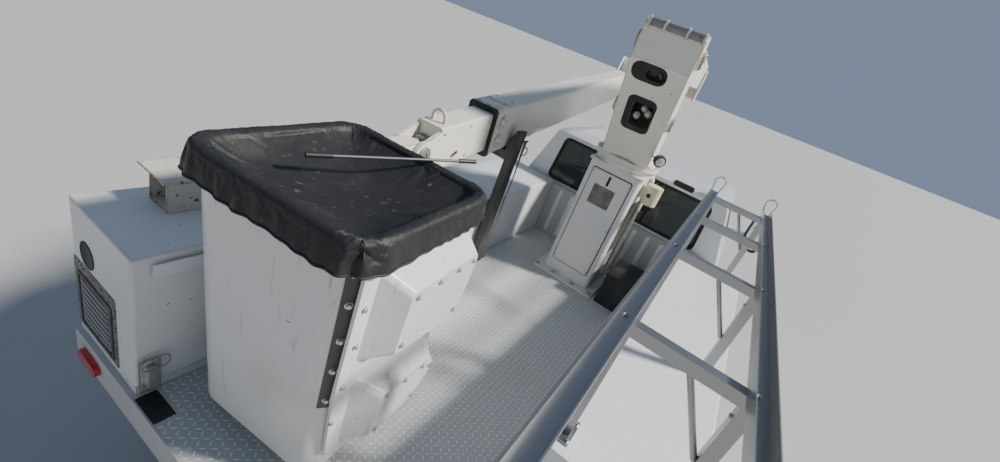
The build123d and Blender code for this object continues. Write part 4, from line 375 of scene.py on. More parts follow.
black_plastic = moulded("black plastic", (0.018, 0.018, 0.019), 0.45)
tyre_rubber = moulded("tyre rubber", (0.022, 0.021, 0.020), 0.75, 0.004)
seal_rubber = moulded("seal rubber", (0.012, 0.012, 0.012), 0.6)
red_lens = moulded("red lens", (0.55, 0.015, 0.012), 0.12, 0.006, Coat_Weight=0.8)
fibreglass = Finish("gel coat", (0.74, 0.74, 0.70), 0.3, Coat_Weight=0.3, Coat_Roughness=0.2)
fibreglass.marks((0.35, 5), (0.45, 0.8, 0.35), (0.52, 0.48, 0.40), 0.5)
fibreglass.marks((0.02, 6, (1, 1, 0.12), 2.0), (0.61, 0.73, 0.55), (0.33, 0.31, 0.28), 0.6)
fibreglass.marks((0.10, 7, (1, 1, 0.5), 8.0), (0.60, 0.74, 0.65), (0.30, 0.285, 0.26), 0.7)
fibreglass.marks((0.012, 4, (0.25, 0.25, 1), 6.0), (0.70, 0.75, 0.8), (0.20, 0.19, 0.175), 0.7)
fibreglass.relief(fibreglass.noise(0.05, 2), 0.0006)
gel_coat = fibreglass.done()
pane = Finish("window glass", (0.10, 0.13, 0.13), 0.04, Transmission_Weight=0.75, IOR=1.45)
pane.marks((0.3, 4), (0.5, 0.9, 0.2), (0.3, 0.3, 0.28), 0.2)
window_glass = pane.done()
fluted = Finish("lamp glass", (0.85, 0.87, 0.88), 0.08, Transmission_Weight=0.35, Coat_Weight=0.8)
fluted.relief(fluted.noise(0.012, 1, (0.1, 1, 1)), 0.001)
lamp_glass = fluted.done()
print("finishes so far", len(bpy.data.materials))

# %% [markdown]
# ## Vinyl, seat cloth and webbing
# The cover's vinyl is black gone grey in patches, dusty in places and lightly crinkled all over.
# Cloth could be woven from real threads, but at this size a bump of crossed waves, one crest to two
# threads, gives the same light at no cost in faces. Three waves are multiplied, one for each axis, so that
# the weave shows on whichever way a surface faces.

# %% Vinyl and cloth
THREAD_WAVE = 0.16        # a wave texture of this scale has bands two metres apart


def cloth(name, colour, thread, roughness=0.85, sheen=0.3):
    """Woven cloth: waves along X, Y and Z, a crest to two threads, multiplied into a bump."""
    finish = Finish(name, colour, roughness, Sheen_Weight=sheen)
    weave = None
    for axis in "XYZ":
        wave = finish.node("ShaderNodeTexWave", bands_direction=axis)
        wave.inputs["Scale"].default_value = THREAD_WAVE / thread
        finish.link(finish.place, wave.inputs["Vector"])
        weave = wave.outputs["Fac"] if weave is None else finish.times(weave, wave.outputs["Fac"])
    finish.relief(weave, thread * 0.08)
    finish.marks((0.15, 5), (0.5, 0.8, 0.4), [0.06 + 0.7 * part for part in colour])
    return finish.done()


vinyl = Finish("black vinyl", (0.018, 0.018, 0.019), 0.52, Specular_IOR_Level=0.35)
vinyl.marks((0.16, 6), (0.5, 0.75, 0.5), (0.055, 0.052, 0.048), 0.6)
vinyl.marks((0.03, 7, EVEN, 4.0), (0.62, 0.72, 0.35), (0.20, 0.185, 0.16), 0.75)
vinyl.relief(vinyl.noise(0.045, 4, shift=2.0), 0.004)
vinyl.relief(vinyl.cells(0.0018), 0.00015)
black_vinyl = vinyl.done()
seat_cloth = cloth("seat cloth", (0.10, 0.10, 0.11), 0.003)
webbing = cloth("strap webbing", (0.035, 0.035, 0.04), 0.0025)
print("finishes", len(bpy.data.materials))

# %% [markdown]
# ## Finishes on the frame's own parts
# The frame names a material slot for each part, so most parts get their finish from one table. A few
# are painted unlike their neighbours, such as the pedestal, and have a line of their own. Setting
# finishes part by part would be sixty lines, and a part that is added later would stay grey.

# %% Finishes on the frame's own parts
BY_SLOT = {
    "frame_steel": frame_steel, "cast_block": iron, "black_plastic": black_plastic,
    "exhaust_steel": muffler_steel, "cab_paint": cab_paint, "bumper_steel": chrome,
    "clear_glass": window_glass, "lamp_lens": lamp_glass, "seat_cloth": seat_cloth,
    "tyre_rubber": tyre_rubber, "deck_plate": shaded_deck_paint, "body_paint": body_paint,
    "rack_aluminium": shaded_aluminium, "box_paint": box_paint, "boom_paint": boom_paint,
    "rod_chrome": chrome, "drive_iron": drive_paint, "strap_webbing": webbing,
    "bucket_shell": gel_coat, "cover_vinyl": black_plastic,
}
BY_NODE = {"pedestal": pedestal_paint, "lid_bracket": bracket_paint, "box_tray": box_paint}
for part in frame["record"]["subparts"]:
    node = part["node"]
    nodes[node].data.materials.clear()
    nodes[node].data.materials.append(BY_NODE.get(node, BY_SLOT[part["material_slot"]]))
floor_finish = Finish("pale floor", (0.44, 0.435, 0.425), 0.85)
floor_finish.relief(floor_finish.noise(0.03, 4), 0.002)
floor_mesh.materials.append(floor_finish.done())

# %% [markdown]
# ## Parts of two finishes
# A wheel is one part of two materials, a steel rim in a rubber tyre, and the lamps are clear ahead and
# red behind. Splitting the mesh would change the frame's part, so a second finish goes on those faces
# whose corners all lie inside the rim, or behind the truck's middle.

# %% Rims and tail lamps
WHEELS = ("wheel_front_left", "wheel_front_right", "wheel_rear_left", "wheel_rear_right")
RIM_R = 0.2489


def corners_at(node):
    """Each point of a node's mesh, in the frame's own metres."""
    mesh, place = nodes[node].data, np.array(nodes[node].matrix_world)
    spots = np.empty(len(mesh.vertices) * 3, np.float32)
    mesh.vertices.foreach_get("co", spots)
    return spots.reshape(-1, 3) @ place[:3, :3].T + place[:3, 3]


def second_finish(node, finish, chosen):
    """Gives a second finish to the faces whose corners are all chosen, one True or False for each point."""
    mesh = nodes[node].data
    corners = np.empty(len(mesh.loops), np.int32)
    mesh.loops.foreach_get("vertex_index", corners)
    starts = np.empty(len(mesh.polygons), np.int32)
    mesh.polygons.foreach_get("loop_start", starts)
    taken = np.minimum.reduceat(chosen[corners], starts)
    mesh.materials.append(finish)
    mesh.polygons.foreach_set("material_index", taken.astype(np.int32))
    print(node, "second finish on", int(taken.sum()), "of", len(starts), "faces")


for node in WHEELS:
    low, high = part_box(node)
    spots = corners_at(node)
    from_hub = np.hypot(spots[:, 0] - (low.x + high.x) / 2, spots[:, 2] - (low.z + high.z) / 2)
    second_finish(node, wheel_steel, from_hub < RIM_R)
second_finish("lamps", red_lens, corners_at("lamps")[:, 0] < 0)

# %% [markdown]
# ## Shapes as arrays
# A modelled detail is a surface: a grid of points worked out from two parameters, and the quads
# between neighbours. Blender's own cubes and cylinders would be quicker to place, but they have no
# draft, no rounded corner and no worn edge. Working on whole arrays keeps the formula readable, and
# is fast enough for the thousands of bars on the deck. First come the faces and the mesh object.

# %% From arrays to objects
made_pieces = []


def quads(rows, cols, ring=False):
    """Quads between neighbours of a rows x cols grid; with ring, the last column meets the first."""
    r, c = np.meshgrid(np.arange(rows - 1), np.arange(cols if ring else cols - 1), indexing="ij")
    beside = (c + 1) % cols
    return np.stack([r * cols + c, r * cols + beside, (r + 1) * cols + beside, (r + 1) * cols + c],
                    -1).reshape(-1, 4)


def end_faces(rows, cols):
    """The two flat ends of a closed tube of rows rings: the last ring, and the first one turned round."""
    return [(rows - 1) * cols + np.arange(cols)[None], np.arange(cols)[::-1][None]]


def piece(name, shape, finish, node, crease=35):
    """Turns a shape, its points and groups of faces, into an object that rides with a node of the frame."""
    points, faces = shape
    mesh = bpy.data.meshes.new(name)
    points = np.reshape(points, (-1, 3)).astype(np.float32)
    corners = np.concatenate([group.ravel() for group in faces]).astype(np.int32)
    counts = np.concatenate([np.full(len(group), group.shape[1]) for group in faces])
    mesh.vertices.add(len(points))
    mesh.vertices.foreach_set("co", points.ravel())
    mesh.loops.add(len(corners))
    mesh.loops.foreach_set("vertex_index", corners)
    mesh.polygons.add(len(counts))
    mesh.polygons.foreach_set("loop_start", (np.cumsum(counts) - counts).astype(np.int32))
    mesh.update(calc_edges=True)
    mesh.validate()
    mesh.polygons.foreach_set("use_smooth", np.ones(len(counts), bool))
    mesh.set_sharp_from_angle(angle=radians(crease))
    mesh.materials.append(finish)
    made = bpy.data.objects.new(name, mesh)
    bpy.context.scene.collection.objects.link(made)
    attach(made, nodes[node]["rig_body"])
    made_pieces.append(made)
    return made


def tally(step):
    """Prints what has been made since the last tally."""
    faces = sum(len(made.data.polygons) for made in made_pieces)
    print(step, len(made_pieces), "pieces", faces, "faces")
    made_pieces.clear()


print("helpers ready:", quads.__name__, piece.__name__, tally.__name__)

# %% [markdown]
# ## Many copies, and the way they face
# A row of bolts is one shape at many places. Linked copies or an array modifier would do for a straight
# row, but most rows here are scattered or go round a circle, and each is exported as one piece. So a
# shape is written once in axes of its own, u, v and n, and every place says which way those point.

# %% Copies and directions
UP, AHEAD = (0, 0, 1), (1, 0, 0)


def joined(*shapes):
    """Several shapes as one."""
    points, faces, count = [], [], 0
    for these, groups in shapes:
        these = np.reshape(these, (-1, 3))
        points.append(these)
        faces += [group + count for group in groups]
        count += len(these)
    return np.concatenate(points), faces


def many(shape, origins, axes):
    """One small shape at many places: point = origin + its three coordinates along the place's axes."""
    base, groups = shape
    origins = np.reshape(origins, (-1, 3)).astype(float)
    axes = np.broadcast_to(axes, (len(origins), 3, 3))
    points = origins[:, None] + np.einsum("kc,mcd->mkd", base, axes)
    step = np.arange(len(origins))[:, None, None] * len(base)
    return points.reshape(-1, 3), [(group[None] + step).reshape(-1, group.shape[1]) for group in groups]


def unit(vector):
    """The vector, or each row of an array, divided by its length."""
    vector = np.asarray(vector, float)
    return vector / np.linalg.norm(vector, axis=-1, keepdims=True)


def facing(normal, along=UP):
    """Axes (u, v, n) of a place on a face: n is its normal, and u is as near to along as it can be."""
    normal = unit(normal)
    v = unit(np.cross(normal, along))
    return np.stack([np.cross(v, normal), v, normal])


LEVEL = np.eye(3)
TO_REAR, TO_FRONT, TO_RIGHT = facing((-1, 0, 0)), facing((1, 0, 0)), facing((0, -1, 0))
CURTAIN = np.array([[0, -1, 0], [0, 0, 1], [-1, 0, 0]])
print("a face to the rear has the axes", TO_REAR.tolist())

# %% [markdown]
# ## Profiles, plates and tubes
# Nearly every fitting on a truck is turned, cut from plate or bent from tube. So there is one function
# for each: a profile carried round an axis, an outline raised to a plate with a drawn-in edge, a flat
# frame between two outlines, and a circle carried along a path. Modelling each fitting face by face
# would give the same meshes, but none of them could be changed by one number.

# %% Profiles, plates and tubes
def turned(profile, around=24):
    """Surface of revolution about n: each (radius, height) of the profile goes round; flat caps close it."""
    profile = np.asarray(profile, float)
    angle = np.linspace(0, 2 * np.pi, around, endpoint=False)
    radius, height = profile[:, :1], profile[:, 1:]
    points = np.stack([radius * np.cos(angle), radius * np.sin(angle), height + 0 * angle], -1)
    return points.reshape(-1, 3), [quads(len(profile), around, True), *end_faces(len(profile), around)]


def rounded(length, width, corner, steps=5):
    """Outline of a rounded rectangle: each corner is a quarter circle of steps + 1 points."""
    angle = np.linspace(0, np.pi / 2, steps + 1)
    quarter = corner * np.stack([np.cos(angle), np.sin(angle)], -1)
    middle = np.array([length / 2 - corner, width / 2 - corner])
    turns = [quarter, quarter[::-1] * (-1, 1), -quarter, quarter[::-1] * (1, -1)]
    return np.concatenate([turn + middle * sign for turn, sign in
                           zip(turns, ((1, 1), (-1, 1), (-1, -1), (1, -1)))])


def slab(outline, height, edge=0.0, low=0.0):
    """A plate: the outline at low, and again at height, whose top edge is drawn in by edge."""
    outline = np.asarray(outline, float)
    count = len(outline)
    inner = outline * (1 - 2 * edge / np.ptp(outline, axis=0))
    rings = [(outline, low), (outline, height - edge), (inner, height)]
    points = np.concatenate([np.column_stack([ring, np.full(count, z)]) for ring, z in rings])
    return points, [quads(3, count, True), *end_faces(3, count)]


def band(outer, inner, height, low=0.0):
    """A flat frame between two outlines of as many points: outside, top, inside and underside."""
    count = len(outer)
    rings = [(outer, low), (outer, height), (inner, height), (inner, low)]
    points = np.concatenate([np.column_stack([ring, np.full(count, z)]) for ring, z in rings])
    return points, [quads(5, count, True) % (4 * count)]


def tube(path, radius, around=12):
    """Circle carried along a path: point + radius (cos a n + sin a b). n and b are square to the path, and n
    is also square to the direction in which the path spreads least, so that it never flips."""
    path = np.asarray(path, float)
    along = unit(np.gradient(path, axis=0))
    steady = np.linalg.svd(path - path.mean(0))[2][-1]
    n = unit(np.cross(np.broadcast_to(steady, along.shape), along))
    b = np.cross(along, n)
    angle = np.linspace(0, 2 * np.pi, around, endpoint=False)[None, :, None]
    points = path[:, None] + radius * (np.cos(angle) * n[:, None] + np.sin(angle) * b[:, None])
    return points.reshape(-1, 3), [quads(len(path), around, True), *end_faces(len(path), around)]


def smoothed(corners, steps=4):
    """A path that rounds its corners: cuts each corner at a quarter of its legs, over and over (Chaikin)."""
    path = np.asarray(corners, float)
    for _ in range(int(np.log2(steps)) + 1):
        near = 0.75 * path[:-1] + 0.25 * path[1:]
        far = 0.25 * path[:-1] + 0.75 * path[1:]
        path = np.concatenate([path[:1], np.stack([near, far], 1).reshape(-1, 3), path[-1:]])
    return path


print("a rounded plate has", len(slab(rounded(0.1, 0.1, 0.01), 0.01)[0]), "points")

# %% [markdown]
# ## Bolts
# A bolt head is a washer and a hexagon whose top edge is worn round. Twelve points round are enough:
# every second one is a corner of the hexagon. Real bolts are all alike, so one shape is repeated over
# a list of places, and each row of bolts is one piece.

# %% Bolts
BOLT_AROUND = 12
WASHER, WORN_TOP = 0.86, 0.44        # radii as shares of the width across the flats
HEAD_HEIGHT = 0.62


def bolt(across):
    """A washer and a hexagon head, across its flats, standing on n = 0."""
    height = HEAD_HEIGHT * across
    angle = np.linspace(0, 2 * np.pi, BOLT_AROUND, endpoint=False)
    hexagon = across / 2 / np.cos((angle + np.pi / 6) % (np.pi / 3) - np.pi / 6)
    washer = np.full(BOLT_AROUND, WASHER * across)
    top = np.full(BOLT_AROUND, WORN_TOP * across)
    rings = [(washer, 0), (washer, 0.16), (hexagon, 0.16), (hexagon, 0.85), (top, 1)]
    points = np.concatenate([np.stack([r * np.cos(angle), r * np.sin(angle), 0 * angle + rise * height], -1)
                             for r, rise in rings])
    return points, [quads(5, BOLT_AROUND, True), end_faces(5, BOLT_AROUND)[0]]


def bolts(name, across, places, normal, node, along=UP):
    """One piece of bolt heads of one size on one face."""
    return piece(name, many(bolt(across), places, facing(normal, along)), zinc, node)


print("a bolt head has", len(bolt(1.0)[0]), "points")

# %% [markdown]
# ## Where the boom stands
# The boom is parked six degrees to the left of straight ahead. Working in turned coordinates would
# make every size on it hard to read, so everything on it is laid out on a boom that points straight
# ahead, and then turned about the slewing ring's axis. The bucket's walls lean in towards its floor;
# its right wall gets a plane of its own for the steps' bolts.

# %% Stowed boom and bucket
pedestal_low, pedestal_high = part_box("pedestal")
SLEW = np.array([(pedestal_low.x + pedestal_high.x) / 2, 0.0, 0.0])
STOW_YAW = radians(6)
STOW = np.array([[cos(STOW_YAW), sin(STOW_YAW), 0], [-sin(STOW_YAW), cos(STOW_YAW), 0], [0, 0, 1]])


def stowed(points):
    """Turns points of the straight boom about the slewing axis, to where it is parked."""
    return (np.reshape(points, (-1, 3)) - SLEW) @ STOW + SLEW


def parked(shape):
    """A shape laid out on the straight boom, turned to where the boom is parked."""
    return stowed(shape[0]), shape[1]


BUCKET_L, BUCKET_W = 0.670, 0.672
BUCKET_CORNER, BUCKET_DRAFT = 0.090, 0.040
BUCKET_Z = (DECK + 0.088, DECK + 1.120)
BUCKET = np.array([SLEW[0] - 2.392, 0.540])
HANGER_SIDE, HANGER_W = 0.630, 0.420
wall_out = unit([0, BUCKET_Z[0] - BUCKET_Z[1], -BUCKET_DRAFT])
wall_up = np.array([0, wall_out[2], -wall_out[1]])
wall_foot = np.array([BUCKET[0], BUCKET[1] - BUCKET_W / 2 + BUCKET_DRAFT, BUCKET_Z[0]])


def on_wall(across_up, out=0.0):
    """Points of the bucket's right wall, from distances ahead of its middle and up it, in millimetres."""
    across_up = np.asarray(across_up, float) / 1000
    return wall_foot + across_up[:, :1] * [1, 0, 0] + across_up[:, 1:] * wall_up + out * wall_out


def rim_outline(direction, length, width, corner):
    """The point of a rounded rectangle that a point of the unit square's edge goes to."""
    half = np.array([length, width]) / 2
    core = half - corner
    middle = np.clip(direction * half, -core, core)
    return middle + corner * unit(direction * half - middle + 1e-9 * direction)


print("slewing axis at", SLEW[0].round(3), "bucket's middle at", BUCKET.round(3))

# %% [markdown]
# ## The vinyl cover
# A black vinyl cover is pulled over the bucket's rim and gripped below it by an elastic hem. Its slack
# hangs in a shallow bowl with folds that run to the corners, and the hem is ruched. A drawn surface
# rarely looks like that, so the sheet is only started here, cut a little too large, and Blender's
# cloth drops it in the next step. Small waves give the folds somewhere to start.

# %% Cover before it is dropped
COVER_STEPS = 141
COVER_SKIRT = 0.105
COVER_EASE = 0.052              # how much wider than the rim the sheet starts
RIM_HALF = BUCKET_W / 2 + 0.02
COVER_RISE, COVER_SAG = 0.016, 0.020
FLARE, WAVE, RUCHE = 0.10, 0.003, 0.005
cover_reach = 1 + COVER_SKIRT / RIM_HALF
cover_line = np.linspace(-cover_reach, cover_reach, COVER_STEPS)
cover_u, cover_v = np.meshgrid(cover_line, cover_line, indexing="ij")


def cover_sheet(u, v):
    """Inside the unit square the sheet is the rim's outline times its distance from the middle; past it, it
    hangs straight down, flared by a tenth, and is ruched by an uneven sine round its edge."""
    far = np.maximum(np.abs(u), np.abs(v))
    edge = np.where(far[..., None] > 1e-6, np.stack([u, v], -1) / np.maximum(far, 1e-6)[..., None], 1.0)
    outline = rim_outline(edge, BUCKET_L + COVER_EASE, BUCKET_W + COVER_EASE, BUCKET_CORNER + 0.02)
    down = np.maximum(far - 1, 0) * RIM_HALF
    flat = outline * (np.minimum(far, 1) + FLARE * np.maximum(far - 1, 0))[..., None]
    around = np.arctan2(v, u)
    wave = WAVE * np.sin(9 * around + 3 * far) * far + WAVE * np.sin(7 * u + 2) * np.sin(6 * v + 1)
    sag = COVER_SAG * (1 - np.minimum(far, 1) ** 2) ** 2
    uneven = 0.35 + 0.65 * np.abs(np.sin(2.5 * around + 1) * np.sin(4 * around + 2))
    ruche = RUCHE * uneven * np.sin(38 * around + 2 * np.sin(5 * around)) * np.minimum(down / 0.03, 1)
    flat = flat + edge * ruche[..., None]
    height = BUCKET_Z[1] + COVER_RISE + wave - sag - down
    return np.concatenate([BUCKET + flat, height[..., None]], -1)


cover_shape = (cover_sheet(cover_u, cover_v), [quads(COVER_STEPS, COVER_STEPS)[:, ::-1]])
cover = piece("vinyl_cover", parked(cover_shape), black_vinyl, "bucket_cover", crease=180)
tally("cover's flat sheet")

# %% [markdown]
# ## Dropping the cover
# The cloth needs something to land on. The bucket itself has thousands of small faces and thin walls,
# which a cloth can slip through, so a plain form of the rim is made from rings of its outline, used
# for the drop and thrown away. The hem is held as the elastic holds it, and the rest is two per cent
# too large, which is what makes the folds. Twenty-six frames are enough to settle, and the result is
# written back into the mesh, so that nothing is left to simulate.

# %% Drop the cover over the rim
COVER_SLACK = 0.020
HELD_FROM = 0.72                # share of the skirt below which the hem holds it
FRAMES = 26
EDGE_POINTS = 40
side_share = np.linspace(-1, 1, EDGE_POINTS, endpoint=False)
one = np.ones(EDGE_POINTS)
square_sides = ((one, side_share), (-side_share, one), (-one, -side_share), (side_share, -one))
square_edge = np.concatenate([np.stack(pair, -1) for pair in square_sides])


def tub_ring(height, out):
    """Points round the bucket's wall at a height, moved out by out: the unit square's edge laid on it."""
    draft = BUCKET_DRAFT * (BUCKET_Z[1] - height) / (BUCKET_Z[1] - BUCKET_Z[0])
    ring = rim_outline(square_edge, BUCKET_L - 2 * draft + 2 * out, BUCKET_W - 2 * draft + 2 * out,
                       BUCKET_CORNER + out)
    return np.column_stack([BUCKET + ring, np.full(len(ring), height)])


rim_profile = [(-0.25, 0.0), (-0.14, 0.0), (-0.06, 0.0), (-0.045, 0.018), (-0.025, 0.018), (-0.005, 0.018),
               (0.0, 0.012), (0.0, 0.0), (-0.005, -0.012), (-0.06, -0.012), (-0.14, -0.012)]
rim_rings = np.stack([tub_ring(BUCKET_Z[1] + z, out) for z, out in rim_profile])


def drop_cover():
    """Runs the cloth over the rim's form, and leaves the last frame in the cover's mesh."""
    form_shape = (rim_rings, [quads(len(rim_profile), len(square_edge), True)])
    form = piece("rim_form", parked(form_shape), gel_coat, "bucket", crease=180)
    form.modifiers.new("form", "COLLISION")
    form.collision.thickness_outer = 0.006
    form.collision.cloth_friction = 12
    gripped = cover.vertex_groups.new(name="gripped")
    cover_far = np.maximum(np.abs(cover_u), np.abs(cover_v)).ravel()
    held = np.flatnonzero(cover_far > 1 + HELD_FROM * (cover_reach - 1))
    gripped.add(held.tolist(), 1.0, "REPLACE")
    drop = cover.modifiers.new("drop", "CLOTH")
    settings = {"quality": 5, "mass": 0.12, "tension_stiffness": 25, "compression_stiffness": 12,
                "shear_stiffness": 6, "bending_stiffness": 1.2, "air_damping": 3,
                "shrink_min": -COVER_SLACK, "vertex_group_mass": "gripped", "pin_stiffness": 1}
    for setting, value in settings.items():
        setattr(drop.settings, setting, value)
    drop.collision_settings.distance_min = 0.003
    drop.collision_settings.use_self_collision = False
    drop.point_cache.frame_end = FRAMES
    for count in range(1, FRAMES + 1):
        bpy.context.scene.frame_set(count)
    seen = cover.evaluated_get(bpy.context.evaluated_depsgraph_get())
    dropped = np.empty(len(seen.data.vertices) * 3, np.float32)
    seen.data.vertices.foreach_get("co", dropped)
    cover.modifiers.remove(drop)
    cover.data.vertices.foreach_set("co", dropped)
    cover.data.update()
    made_pieces.remove(form)
    bpy.data.objects.remove(form)
    bpy.context.scene.frame_set(1)
    print("cover dropped, lowest and highest", dropped[2::3].min().round(3), dropped[2::3].max().round(3))


drop_cover()

# %% [markdown]
# ## The cover's edge
# The hanger passes through a notch in the cover's front edge. Cutting it with a boolean would leave
# slivers, so the points inside the notch are deleted, and what is left is bound by a hem: the rows of
# points along the edge give its path, and a thin tube runs along them. Thickness comes last, from a
# modifier, because vinyl is the same all over.

# %% Trim the cover at the hanger, and turn its edge over a cord
HEM_R = 0.0045
VINYL_T = 0.0014
cover_spots = np.empty(len(cover.data.vertices) * 3, np.float32)
cover.data.vertices.foreach_get("co", cover_spots)
cover_points = cover_spots.reshape(-1, 3)
straight = (cover_points - SLEW) @ STOW.T + SLEW
in_notch = ((straight[:, 0] > BUCKET[0] + BUCKET_L / 2 - 0.01) & (straight[:, 2] < BUCKET_Z[1] - 0.012)
            & (np.abs(straight[:, 1] - HANGER_SIDE) < HANGER_W / 2 + 0.02))
trim = bmesh.new()
trim.from_mesh(cover.data)
trim.verts.ensure_lookup_table()
bmesh.ops.delete(trim, geom=[trim.verts[i] for i in np.flatnonzero(in_notch)], context="VERTS")
trim.to_mesh(cover.data)
trim.free()
ring_ids = np.arange(COVER_STEPS ** 2).reshape(COVER_STEPS, COVER_STEPS)
edge_ring = np.concatenate([ring_ids[0], ring_ids[1:, -1], ring_ids[-1, -2::-1], ring_ids[-2:0:-1, 0]])
notch_end = np.flatnonzero(in_notch[edge_ring])[-1] + 1
open_ring = np.roll(edge_ring, -notch_end)
hem_path = cover_points[open_ring[~in_notch[open_ring]]][::2]
hem = piece("cover_hem", tube(hem_path, HEM_R, 8), black_vinyl, "bucket_cover", crease=80)
thickness = cover.modifiers.new("thickness", "SOLIDIFY")
thickness.thickness = VINYL_T
thickness.offset = 1
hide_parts("bucket_cover")
print("cover's area", round(sum(face.area for face in cover.data.polygons), 3), "square metres")

# %% [markdown]
# ## Rod left lying on the cover
# Someone has left a thin rod with dark grips lying slantwise over the rim. Dropping it with physics
# would land it anywhere, so its two ends are given, just above the cloth.

# %% Rod left lying on the cover
ROD_R, GRIP_R = 0.006, 0.009
rod_ends = np.array([[-0.105, 0.12, 0.012], [0.52, -0.165, 0.030]]) + [BUCKET[0], BUCKET[1], BUCKET_Z[1]]
rod_line = rod_ends[0] + np.linspace(0, 1, 9)[:, None] * (rod_ends[1] - rod_ends[0])
piece("cover_rod", parked(tube(rod_line, ROD_R)), iron, "bucket")
grips = joined(tube(rod_line[:2], GRIP_R), tube(rod_line[-2:], GRIP_R))
piece("rod_grips", parked(grips), black_plastic, "bucket")
tally("rod and hem")

# %% [markdown]
# ## Bolts through the bucket's steps
# The step moulding is bolted through the fibreglass with zinc plated hexagon bolts on big washers. They
# aren't in even rows, since each goes where the moulding lies flat, so their places are lists: how far
# ahead of the wall's middle and how far up it, in millimetres.

# %% Step bolts
STEP_FLANGE_OUT, STEP_POD_OUT, STEP_BOLT = 0.012, 0.096, 0.013
flange_bolts = [(-274, 945), (-266, 800), (-258, 650), (-262, 471), (-268, 300), (-190, 952), (-85, 952),
                (20, 952), (130, 952), (238, 952), (262, 540), (180, 455), (262, 300), (150, 86), (-60, 86)]
pod_bolts = [(-140, 838), (-20, 842), (95, 840), (200, 836), (-140, 640), (190, 606), (-110, 374), (0, 360),
             (115, 345), (182, 300), (112, 178), (-112, 190)]
for name, spots, out in (("flange_bolts", flange_bolts, STEP_FLANGE_OUT),
                         ("pod_bolts", pod_bolts, STEP_POD_OUT)):
    bolts(name, STEP_BOLT, stowed(on_wall(spots, out)), wall_out @ STOW, "bucket_steps")
tally("step bolts")

# %% [markdown]
# ## Corner strap
# A dark steel strap is bolted down the bucket's right rear corner. A flat bar laid on a round, leaning
# corner would cut into it or stand off, so its section is carried up the corner's own line and each
# point is drawn back by more than half of what the corner's arc falls away there.

# %% Corner strap
CORNER_TURN = radians(40)
STRAP_RINGS, HUG = 25, 0.6        # the strap follows this share of the arc's fall
strap_dir = np.array([-sin(CORNER_TURN), -cos(CORNER_TURN), 0])
strap_side = np.array([cos(CORNER_TURN), -sin(CORNER_TURN), 0])


def corner_point(height, out, aside):
    """A point on the bucket's right rear corner: its arc's middle, then out along the corner's normal."""
    rise = (height - BUCKET_Z[0]) / (BUCKET_Z[1] - BUCKET_Z[0])
    middle = BUCKET - np.array([BUCKET_L, BUCKET_W]) / 2 + BUCKET_DRAFT * (1 - rise)[:, None] + BUCKET_CORNER
    base = np.column_stack([middle, height])
    return base + (BUCKET_CORNER + out)[:, None] * strap_dir + aside[:, None] * strap_side


strap_z = np.linspace(BUCKET_Z[0] + 0.36, BUCKET_Z[1] - 0.085, STRAP_RINGS)
strap_section = np.array([(0.000, -0.024), (0.003, -0.024), (0.0045, -0.0225), (0.0045, 0.0225),
                          (0.003, 0.024), (0.000, 0.024)])
strap_count = len(strap_section)
strap_out, strap_aside = np.tile(strap_section, (STRAP_RINGS, 1)).T
fall = BUCKET_CORNER * (np.cos(np.arcsin(strap_aside / BUCKET_CORNER)) - 1)
strap_points = corner_point(np.repeat(strap_z, strap_count), strap_out + HUG * fall - 0.001, strap_aside)
strap_faces = [quads(STRAP_RINGS, strap_count, True), *end_faces(STRAP_RINGS, strap_count)]
piece("corner_strap", parked((strap_points, strap_faces)), strap_steel, "bucket")
bolt_z = BUCKET_Z[0] + np.array([0.40, 0.54, 0.67, 0.81, 0.92])
bolt_spots = corner_point(bolt_z, np.full(len(bolt_z), 0.002), 0 * bolt_z)
bolts("strap_bolts", 0.015, stowed(bolt_spots), strap_dir @ STOW, "bucket")
tally("corner strap")

# %% [markdown]
# ## Tread on the deck
# The deck is light tread plate: short raised bars, each a narrow oval a good millimetre high, set at
# right angles to its neighbours. A bump in the material would be cheaper, but the bars catch the sun
# and are seen at a flat angle, so they are real. There are thousands, so each has nine faces and they
# are one mesh. Bars under the box, the pedestal and the boom's rest are left out.

# %% Deck tread
BAR_L, BAR_W, BAR_H, BAR_PITCH = 0.024, 0.0055, 0.0013, 0.0285
BAR_AROUND = 8
bar_angle = np.linspace(0, 2 * np.pi, BAR_AROUND, endpoint=False)
bar_ring = np.stack([BAR_L / 2 * np.cos(bar_angle), BAR_W / 2 * np.sin(bar_angle), 0 * bar_angle], -1)
bar_top = bar_ring * (0.72, 0.55, 1) + (0, 0, BAR_H)
bar_faces = [quads(2, BAR_AROUND, True), end_faces(2, BAR_AROUND)[0]]
wall_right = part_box("side_body_right")[1].y
wall_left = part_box("side_body_left")[0].y
shelf_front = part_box("side_body_left")[0].x
rows = np.arange(REAR + 0.02, deck_high.x - 0.045, BAR_PITCH)
columns = np.arange(deck_low.y + 0.02, deck_high.y - 0.01, BAR_PITCH)
row, column = np.meshgrid(np.arange(len(rows)), np.arange(len(columns)), indexing="ij")
bar_x, bar_y = rows[row].ravel(), columns[column].ravel()


def clear_of(low, high, gap):
    """True for each bar that stands more than gap outside a box in plan."""
    return ((bar_x < low.x - gap) | (bar_x > high.x + gap)
            | (bar_y < low.y - gap) | (bar_y > high.y + gap))


